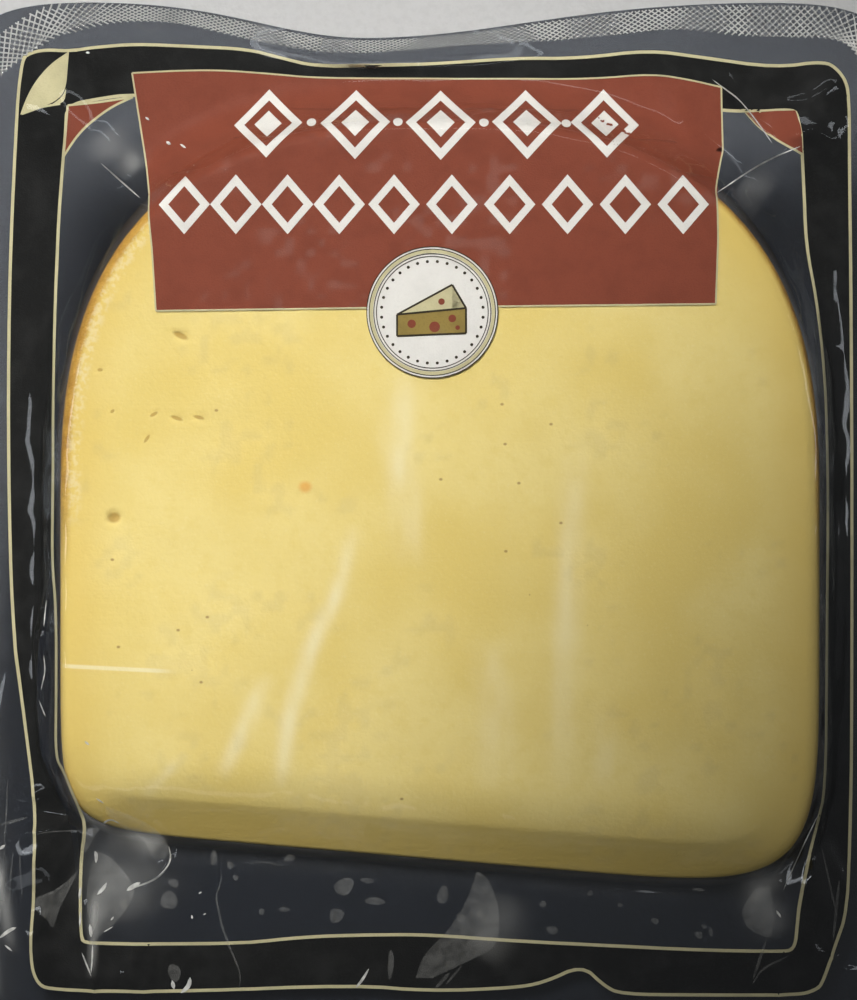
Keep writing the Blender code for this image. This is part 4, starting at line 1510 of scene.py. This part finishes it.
def build_label(settings):
    """The terracotta panel and corner fields, their thin pale edging and the rows of lozenges."""
    ink = settings.ink
    deep = tuple(0.82 * part for part in ink.terracotta)
    terracotta = ink_material("print_terracotta", ink.terracotta, deep, 0.42)
    white = ink_material("print_white", ink.white, tuple(0.9 * part for part in ink.white), 0.4)
    gold = bpy.data.materials["print_gold"]
    net = panel_grid() / MM
    panel = Ink(PANEL_DEPTH)
    for lower, upper in zip(net[:-1:PANEL_STRIP], net[PANEL_STRIP::PANEL_STRIP]):
        panel.strip(lower, upper)
    panel.piece("label_panel", terracotta, "print_terracotta")
    fields = Ink(PANEL_DEPTH)
    fields.strip(LEFT_SPANDREL_CORNER, smooth_line(LEFT_SPANDREL_ARC))
    fields.strip(smooth_line(RIGHT_SPANDREL_ARC), RIGHT_SPANDREL_CORNER)
    fields.piece("corner_fields", terracotta, "print_terracotta")
    edging = Ink(EDGING_DEPTH)
    for side in (net[0], net[-1], net[:, 0], net[:, -1]):
        edging.line(side, EDGING_WIDTH)
    for arc in (LEFT_SPANDREL_ARC, RIGHT_SPANDREL_ARC):
        edging.line(smooth_line(arc), SEAM_WIDTH)
    for side in (LEFT_SPANDREL_CORNER[:3], LEFT_SPANDREL_CORNER[2:]):
        edging.line(side, SEAM_WIDTH)
    edging.piece("label_edging", gold, "print_gold")
    motifs = Ink(MOTIF_DEPTH)
    large = ink.motif_size / MM
    for centre in ROW_ONE:
        motifs.lozenge(centre, large, large * LARGE_INNER, LARGE_NARROW)
        motifs.lozenge(centre, large * LARGE_CORE, 0, LARGE_NARROW)
    for left, right in zip(ROW_ONE[:-1], ROW_ONE[1:]):
        motifs.ring(((left[0] + right[0]) / 2, left[1]), 0, JOINING_DOT)
    small = large * SMALL_SIZE
    for centre in ROW_TWO:
        motifs.lozenge(centre, small, small * SMALL_INNER, SMALL_NARROW)
    motifs.piece("label_motifs", white, "print_white")


def build_badge(settings):
    """The round badge: pale field, gold rings, a ring of dots and a plain wedge-of-cheese figure."""
    ink = settings.ink
    white, gold = bpy.data.materials["print_white"], bpy.data.materials["print_gold"]
    terracotta = bpy.data.materials["print_terracotta"]
    dark = ink_material("badge_brown", (0.035, 0.028, 0.016), (0.06, 0.045, 0.02), 0.35)
    ochre = ink_material("badge_ochre", (0.30, 0.22, 0.06), (0.22, 0.16, 0.045), 0.35)
    centre = np.array(BADGE_CENTRE)
    Ink(BADGE_DEPTH).ring(centre, 0, BADGE_RADIUS).piece("badge_field", white, "print_white")
    Ink(BADGE_RING_DEPTH).ring(centre, *BADGE_BAND).piece("badge_ring", gold, "print_gold")
    marks = Ink(BADGE_MARK_DEPTH)
    for radius in FINE_RINGS:
        marks.ring(centre, radius - FINE_RING_WIDTH, radius)
    for step in range(DOT_COUNT):
        angle = math.radians(step * 360 / DOT_COUNT + DOT_TURN)
        marks.ring(centre + DOT_CIRCLE * np.array((math.cos(angle), math.sin(angle))), 0, DOT_RADIUS)
    tip, right, peak = centre + FIGURE_TIP, centre + FIGURE_RIGHT, centre + FIGURE_PEAK
    low_right, low_tip = centre + FIGURE_LOW_RIGHT, centre + FIGURE_LOW_TIP
    for edge in ((tip, right), (right, low_right), (low_right, low_tip), (low_tip, tip), (tip, peak),
                 (peak, right)):
        marks.line(edge, FIGURE_LINE)
    marks.piece("badge_outline", dark, "print_black")
    top = Ink(BADGE_RING_DEPTH)
    top.strip((tip, right), (tip, peak))
    top.strip((peak, peak - (0, FIGURE_POINT)), (right, (peak[0], right[1] - FIGURE_CORNER)))
    top.piece("badge_wedge_top", gold, "print_gold")
    side = Ink(BADGE_RING_DEPTH)
    side.strip((low_tip, low_right), (tip, right))
    side.piece("badge_wedge_side", ochre, "print_gold")
    holes = Ink(BADGE_MARK_DEPTH)
    for place, radius in FIGURE_HOLES:
        holes.ring(centre + place, 0, radius)
    holes.piece("badge_holes", terracotta, "print_terracotta")


def seal_spine(width):
    """The middle line of the seal band round the whole pack, and its width along the line, in metres."""
    low = PACK_CENTRE[1] - PACK_LENGTH / 2 + width + 1.2 * MM
    left, right = SEAL_TOP[0][0] * MM, SEAL_TOP[-1][0] * MM
    top = SEAL_TOP[0][1] * MM
    rising = np.linspace(low + 7 * MM, top - 5 * MM, 12)
    sides = [(left, v) for v in rising[::-1]]
    sides += [(left + 1 * MM, low + 2.6 * MM), (left + 4 * MM, low + 0.4 * MM)]
    sides += [(u, low) for u in np.linspace(left + 9 * MM, right - 9 * MM, 10)]
    sides += [(right - 4 * MM, low + 0.4 * MM), (right - 1 * MM, low + 2.6 * MM)]
    sides += [(right, v) for v in rising]
    loop = smooth_loop(np.concatenate([np.array(sides) / MM, SEAL_TOP[::-1]]), 3)
    inner = resample(loop, SEAL_SAMPLES + 1)[:-1]
    tangents = np.roll(inner, -1, axis=0) - np.roll(inner, 1, axis=0)
    outward = np.stack([tangents[:, 1], -tangents[:, 0]], axis=-1) / np.hypot(*tangents.T)[:, None]
    rim = np.stack(pack_rim(*square_rim(SEAL_SAMPLES)), axis=-1)
    room = np.array([np.hypot(*(rim - point).T).min() for point in inner])
    widths = np.minimum(width, room - SEAL_EDGE)
    if widths.min() < SEAL_NARROWEST:
        raise RuntimeError("the seal band has no room inside the pack's edge")
    return inner + outward * widths[:, None] / 2, widths


def seal_tree(material, film):
    """Geometry Nodes: two crossing families of ribs along the seal's spine, dropped on the film."""
    tree = bpy.data.node_groups.new("seal_ribs", "GeometryNodeTree")
    tree.is_modifier = True
    face = tree.interface
    face.new_socket("Spine", in_out="INPUT", socket_type="NodeSocketGeometry")
    names = ("Pitch", "Seal Width", "Rib Height", "Rib Width")
    for name in names:
        face.new_socket(name, in_out="INPUT", socket_type="NodeSocketFloat").subtype = "DISTANCE"
    face.new_socket("Ribs", in_out="OUTPUT", socket_type="NodeSocketGeometry")
    recipe = Tree(tree)
    given = {name: recipe.given(name) for name in ("Spine", *names)}
    curve = recipe.node("GeometryNodeMeshToCurve", values={"Mesh": given["Spine"]})
    beads = recipe.node("GeometryNodeResampleCurve", {"mode": "LENGTH"}, {
        "Curve": curve, "Length": given["Pitch"]})
    tangent = recipe.node("GeometryNodeInputTangent")
    out = (0, -math.sin(CUT_ANGLE), math.cos(CUT_ANGLE))
    aimed = recipe.node("FunctionNodeAxesToRotation", {"primary_axis": "Z", "secondary_axis": "X"}, {
        "Primary Axis": out, "Secondary Axis": tangent})
    share = recipe.node("GeometryNodeInputNamedAttribute", {"data_type": "FLOAT"}, {
        "Name": "band_share"})
    profile = recipe.node("GeometryNodeCurvePrimitiveCircle", {"mode": "RADIUS"}, {
        "Resolution": 6, "Radius": given["Rib Width"] * 0.5})
    families = []
    for slant in (0.5, -0.5):
        bar = recipe.node("GeometryNodeCurvePrimitiveLine", {"mode": "POINTS"}, {
            "Start": recipe.vector(given["Seal Width"] * -0.5, given["Seal Width"] * -slant, 0),
            "End": recipe.vector(given["Seal Width"] * 0.5, given["Seal Width"] * slant, 0)})
        bar = recipe.node("GeometryNodeResampleCurve", {"mode": "COUNT"}, {"Curve": bar, "Count": 8})
        rib = recipe.node("GeometryNodeCurveToMesh", values={
            "Curve": bar, "Profile Curve": profile, "Fill Caps": True})
        rib = recipe.node("GeometryNodeTransform", values={
            "Geometry": rib, "Scale": recipe.vector(1, 1, given["Rib Height"] * 2 / given["Rib Width"])})
        families.append(recipe.node("GeometryNodeInstanceOnPoints", values={
            "Points": beads, "Instance": rib, "Rotation": aimed, "Scale": recipe.vector(1, share, 1)}))
    solid = recipe.node("GeometryNodeRealizeInstances", values={"Geometry": recipe.join(families)})
    position = recipe.node("GeometryNodeInputPosition")
    above = recipe.node("ShaderNodeVectorMath", {"operation": "DOT_PRODUCT"}, {
        0: position, 1: out}, "Value")
    plane = recipe.node("GeometryNodeSampleIndex", {"data_type": "FLOAT", "domain": "POINT"}, {
        "Geometry": given["Spine"], "Value": above, "Index": 0})
    target = recipe.node("GeometryNodeObjectInfo", {"transform_space": "RELATIVE"}, {
        "Object": film}, "Geometry")
    settings = {"data_type": "FLOAT", "mapping": "INTERPOLATED"}
    down = tuple(-part for part in out)
    values = {"Target Geometry": target, "Ray Direction": down, "Ray Length": SEAL_RAY}
    hit = recipe.node("GeometryNodeRaycast", settings, values, "Hit Position")
    found = recipe.node("GeometryNodeRaycast", settings, values, "Is Hit")
    nearest = recipe.node("GeometryNodeProximity", {"target_element": "FACES"}, {
        "Geometry": target}, "Position")
    hit = recipe.node("GeometryNodeSwitch", {"input_type": "VECTOR"}, {
        "Switch": found, "False": nearest, "True": hit})
    lifted = recipe.node("ShaderNodeVectorMath", {"operation": "SCALE"}, {
        0: out, "Scale": above - plane})
    dropped = recipe.node("ShaderNodeVectorMath", {"operation": "ADD"}, {0: hit, 1: lifted})
    settled = recipe.node("GeometryNodeSetPosition", values={"Geometry": solid, "Position": dropped})
    painted = recipe.node("GeometryNodeSetMaterial", values={"Geometry": settled, "Material": material})
    recipe.finish("Ribs", painted)
    return tree


def apply_tree(carrier, tree, values):
    """The tree's result on the carrier as a plain mesh, its inputs set before it is first worked out."""
    modifier = carrier.modifiers.new("ribs", "NODES")
    modifier.node_group = tree
    inputs = [item for item in tree.interface.items_tree if item.in_out == "INPUT"]
    identifiers = {item.name: item.identifier for item in inputs}
    for name, value in values.items():
        modifier[identifiers[name]] = value
    carrier.update_tag()
    graph = bpy.context.evaluated_depsgraph_get()
    mesh = bpy.data.meshes.new_from_object(carrier.evaluated_get(graph))
    carrier.modifiers.remove(modifier)
    return mesh


def build_seal(settings):
    """The cross-ribbed seal band all round the pack."""
    seal = settings.seal
    spine, widths = seal_spine(seal.width)
    points = to_frame(spine[:, 0], spine[:, 1], np.full(len(spine), SEAL_GUIDE_HEIGHT))
    guide = bpy.data.meshes.new("seal_guide")
    count = len(points)
    guide.from_pydata(points.tolist(), [(i, (i + 1) % count) for i in range(count)], [])
    write_attribute(guide, "band_share", widths / seal.width)
    carrier = bpy.data.objects.new("seal_guide", guide)
    bpy.context.scene.collection.objects.link(carrier)
    material = film_material("sealed_film", settings.film, sealed=True)
    tree = seal_tree(material, bpy.data.objects["film_bag"])
    mesh = apply_tree(carrier, tree, {
        "Pitch": seal.pitch, "Seal Width": seal.width, "Rib Height": seal.rib_height,
        "Rib Width": seal.rib_width})
    bpy.data.objects.remove(carrier)
    nearest = min(max(abs(vertex.co.x), abs(vertex.co.y)) for vertex in mesh.vertices)
    highest = max(vertex.co.z for vertex in mesh.vertices)
    if nearest < SEAL_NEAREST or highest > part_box("film_flange")[1].z:
        raise RuntimeError("a rib of the seal misses the film")
    mesh.shade_smooth()
    return make_piece("seal_ribs", mesh, material)


def aimed_light(name, place, power, colour, aim=(0.0, 0.0), spread=180):
    """A softbox aimed at the pack. The key only lights, and the strips only show in reflections."""
    tilt, around, distance, size = place
    light = bpy.data.lights.new(name, "AREA")
    light.shape = "RECTANGLE"
    light.size, light.size_y = size
    light.energy = power
    light.color = colour
    light.spread = math.radians(spread)
    lean_out, turn = math.radians(tilt), math.radians(around)
    outward = math.sin(lean_out)
    offset = (outward * math.cos(turn), outward * math.sin(turn), math.cos(lean_out))
    source = Vector(to_frame(*[np.array(distance * part) for part in offset]))
    target = Vector(to_frame(np.array(aim[0]), np.array(aim[1]), np.array(0.0)))
    lamp = bpy.data.objects.new(name, light)
    lamp.location = source
    lamp.rotation_euler = (target - source).to_track_quat("-Z", "Y").to_euler()
    lamp.visible_camera = False
    lamp.visible_diffuse = name == "key"
    lamp.visible_glossy = name != "key"
    bpy.context.scene.collection.objects.link(lamp)


def build_stage(settings):
    """Pale floor, soft lights and the camera square to the front face."""
    stage = settings.stage
    recipe = Recipe("floor")
    place = recipe.place()
    speckle = recipe.noise(place, 0.9, 2, 0.6)
    broad = recipe.noise(place, 0.012, 1, 0.5)
    darker, duller = (tuple(share * part for part in stage.floor) for share in (0.92, 0.95))
    tone = recipe.mix(tuple(stage.floor), darker, recipe.rise(speckle, 0.4, 0.7))
    tone = recipe.mix(tone, duller, broad)
    shader = recipe.node("ShaderNodeBsdfPrincipled", values={
        "Base Color": tone, "Roughness": 0.75, "Normal": recipe.bump(speckle, 0.0001)})
    mesh = bpy.data.meshes.new("floor")
    build = bmesh.new()
    bmesh.ops.create_circle(build, cap_ends=True, segments=FLOOR_SIDES, radius=FLOOR_RADIUS)
    build.to_mesh(mesh)
    build.free()
    mesh.materials.append(recipe.close(shader))
    floor = bpy.data.objects.new("floor", mesh)
    floor.location.z = -FLOOR_DROP
    bpy.context.scene.collection.objects.link(floor)
    world = bpy.data.worlds.new("sky")
    world.use_nodes = True
    background = world.node_tree.nodes["Background"]
    background.inputs["Color"].default_value = SKY_COLOUR
    background.inputs["Strength"].default_value = stage.sky
    bpy.context.scene.world = world
    aimed_light("key", KEY_PLACE, stage.key_power, KEY_COLOUR, KEY_AIM, KEY_SPREAD)
    for name, place, share in STRIPS:
        aimed_light(name, place, stage.glint_power * share, STRIP_COLOUR)
    camera_data = bpy.data.cameras.new("camera")
    camera_data.lens = SENSOR_LENGTH * CAMERA_DISTANCE / VIEW_LENGTH
    camera_data.clip_start = 0.01
    camera = bpy.data.objects.new("camera", camera_data)
    camera.location = Vector(to_frame(np.array(CAMERA_ACROSS), np.array(0.0), np.array(CAMERA_DISTANCE)))
    camera.rotation_euler = (CUT_ANGLE, 0, 0)
    bpy.context.scene.collection.objects.link(camera)
    bpy.context.scene.camera = camera
    bpy.context.scene.view_settings.view_transform = "Standard"


class CHEESEPACK_OT_cheese(bpy.types.Operator):
    """Builds the cheese wedge with its cut faces and rind."""

    bl_idname = "cheesepack.cheese"
    bl_label = "Cheese"

    def execute(self, context):
        build_cheese(context.scene.cheese_pack)
        return {"FINISHED"}


class CHEESEPACK_OT_film(bpy.types.Operator):
    """Builds the clear film bag round the cheese, and the marks in it."""

    bl_idname = "cheesepack.film"
    bl_label = "Film Bag"

    def execute(self, context):
        build_film(context.scene.cheese_pack)
        build_film_marks(context.scene.cheese_pack)
        return {"FINISHED"}


class CHEESEPACK_OT_frame_print(bpy.types.Operator):
    """Builds the printed black frame, its lines and its gold corner."""

    bl_idname = "cheesepack.frame_print"
    bl_label = "Frame Print"

    def execute(self, context):
        build_frame_print(context.scene.cheese_pack)
        return {"FINISHED"}


class CHEESEPACK_OT_label(bpy.types.Operator):
    """Builds the terracotta panel and its rows of lozenges."""

    bl_idname = "cheesepack.label"
    bl_label = "Label Panel"

    def execute(self, context):
        build_label(context.scene.cheese_pack)
        return {"FINISHED"}


class CHEESEPACK_OT_badge(bpy.types.Operator):
    """Builds the round badge."""

    bl_idname = "cheesepack.badge"
    bl_label = "Badge"

    def execute(self, context):
        build_badge(context.scene.cheese_pack)
        return {"FINISHED"}


class CHEESEPACK_OT_seal(bpy.types.Operator):
    """Builds the cross-ribbed seal round the pack."""

    bl_idname = "cheesepack.seal"
    bl_label = "Seal"

    def execute(self, context):
        build_seal(context.scene.cheese_pack)
        return {"FINISHED"}


class CHEESEPACK_OT_stage(bpy.types.Operator):
    """Builds the floor, the lights and the camera."""

    bl_idname = "cheesepack.stage"
    bl_label = "Stage"

    def execute(self, context):
        build_stage(context.scene.cheese_pack)
        return {"FINISHED"}


class CHEESEPACK_PT_panel(bpy.types.Panel):
    """Lists the pack's steps in the order in which they are run."""

    bl_label = "Cheese Pack"
    bl_idname = "CHEESEPACK_PT_panel"
    bl_space_type = "VIEW_3D"
    bl_region_type = "UI"
    bl_category = "Cheese Pack"

    def draw(self, context):
        settings = context.scene.cheese_pack
        for step, group in STEPS:
            self.layout.operator(f"cheesepack.{step}")
            for name in group.__annotations__ if group else ():
                self.layout.prop(getattr(settings, GROUP_NAMES[group]), name)


GROUP_NAMES = {
    CheeseSettings: "cheese",
    FilmSettings: "film",
    PrintSettings: "ink",
    SealSettings: "seal",
    StageSettings: "stage",
}
STEPS = (
    ("cheese", CheeseSettings),
    ("film", FilmSettings),
    ("frame_print", PrintSettings),
    ("label", None),
    ("badge", None),
    ("seal", SealSettings),
    ("stage", StageSettings),
)
CLASSES = (
    CheeseSettings,
    FilmSettings,
    PrintSettings,
    SealSettings,
    StageSettings,
    PackSettings,
    CHEESEPACK_OT_cheese,
    CHEESEPACK_OT_film,
    CHEESEPACK_OT_frame_print,
    CHEESEPACK_OT_label,
    CHEESEPACK_OT_badge,
    CHEESEPACK_OT_seal,
    CHEESEPACK_OT_stage,
    CHEESEPACK_PT_panel,
)


def register():
    for made in CLASSES:
        bpy.utils.register_class(made)
    bpy.types.Scene.cheese_pack = bpy.props.PointerProperty(
        name="Cheese pack", description="Sizes and colours of the cheese pack", type=PackSettings)


def unregister():
    del bpy.types.Scene.cheese_pack
    for made in reversed(CLASSES):
        bpy.utils.unregister_class(made)


def main():
    register()
    bpy.ops.cheesepack.cheese()
    bpy.ops.cheesepack.film()
    bpy.ops.cheesepack.frame_print()
    bpy.ops.cheesepack.label()
    bpy.ops.cheesepack.badge()
    bpy.ops.cheesepack.seal()
    bpy.ops.cheesepack.stage()


if __name__ == "__main__":
    main()
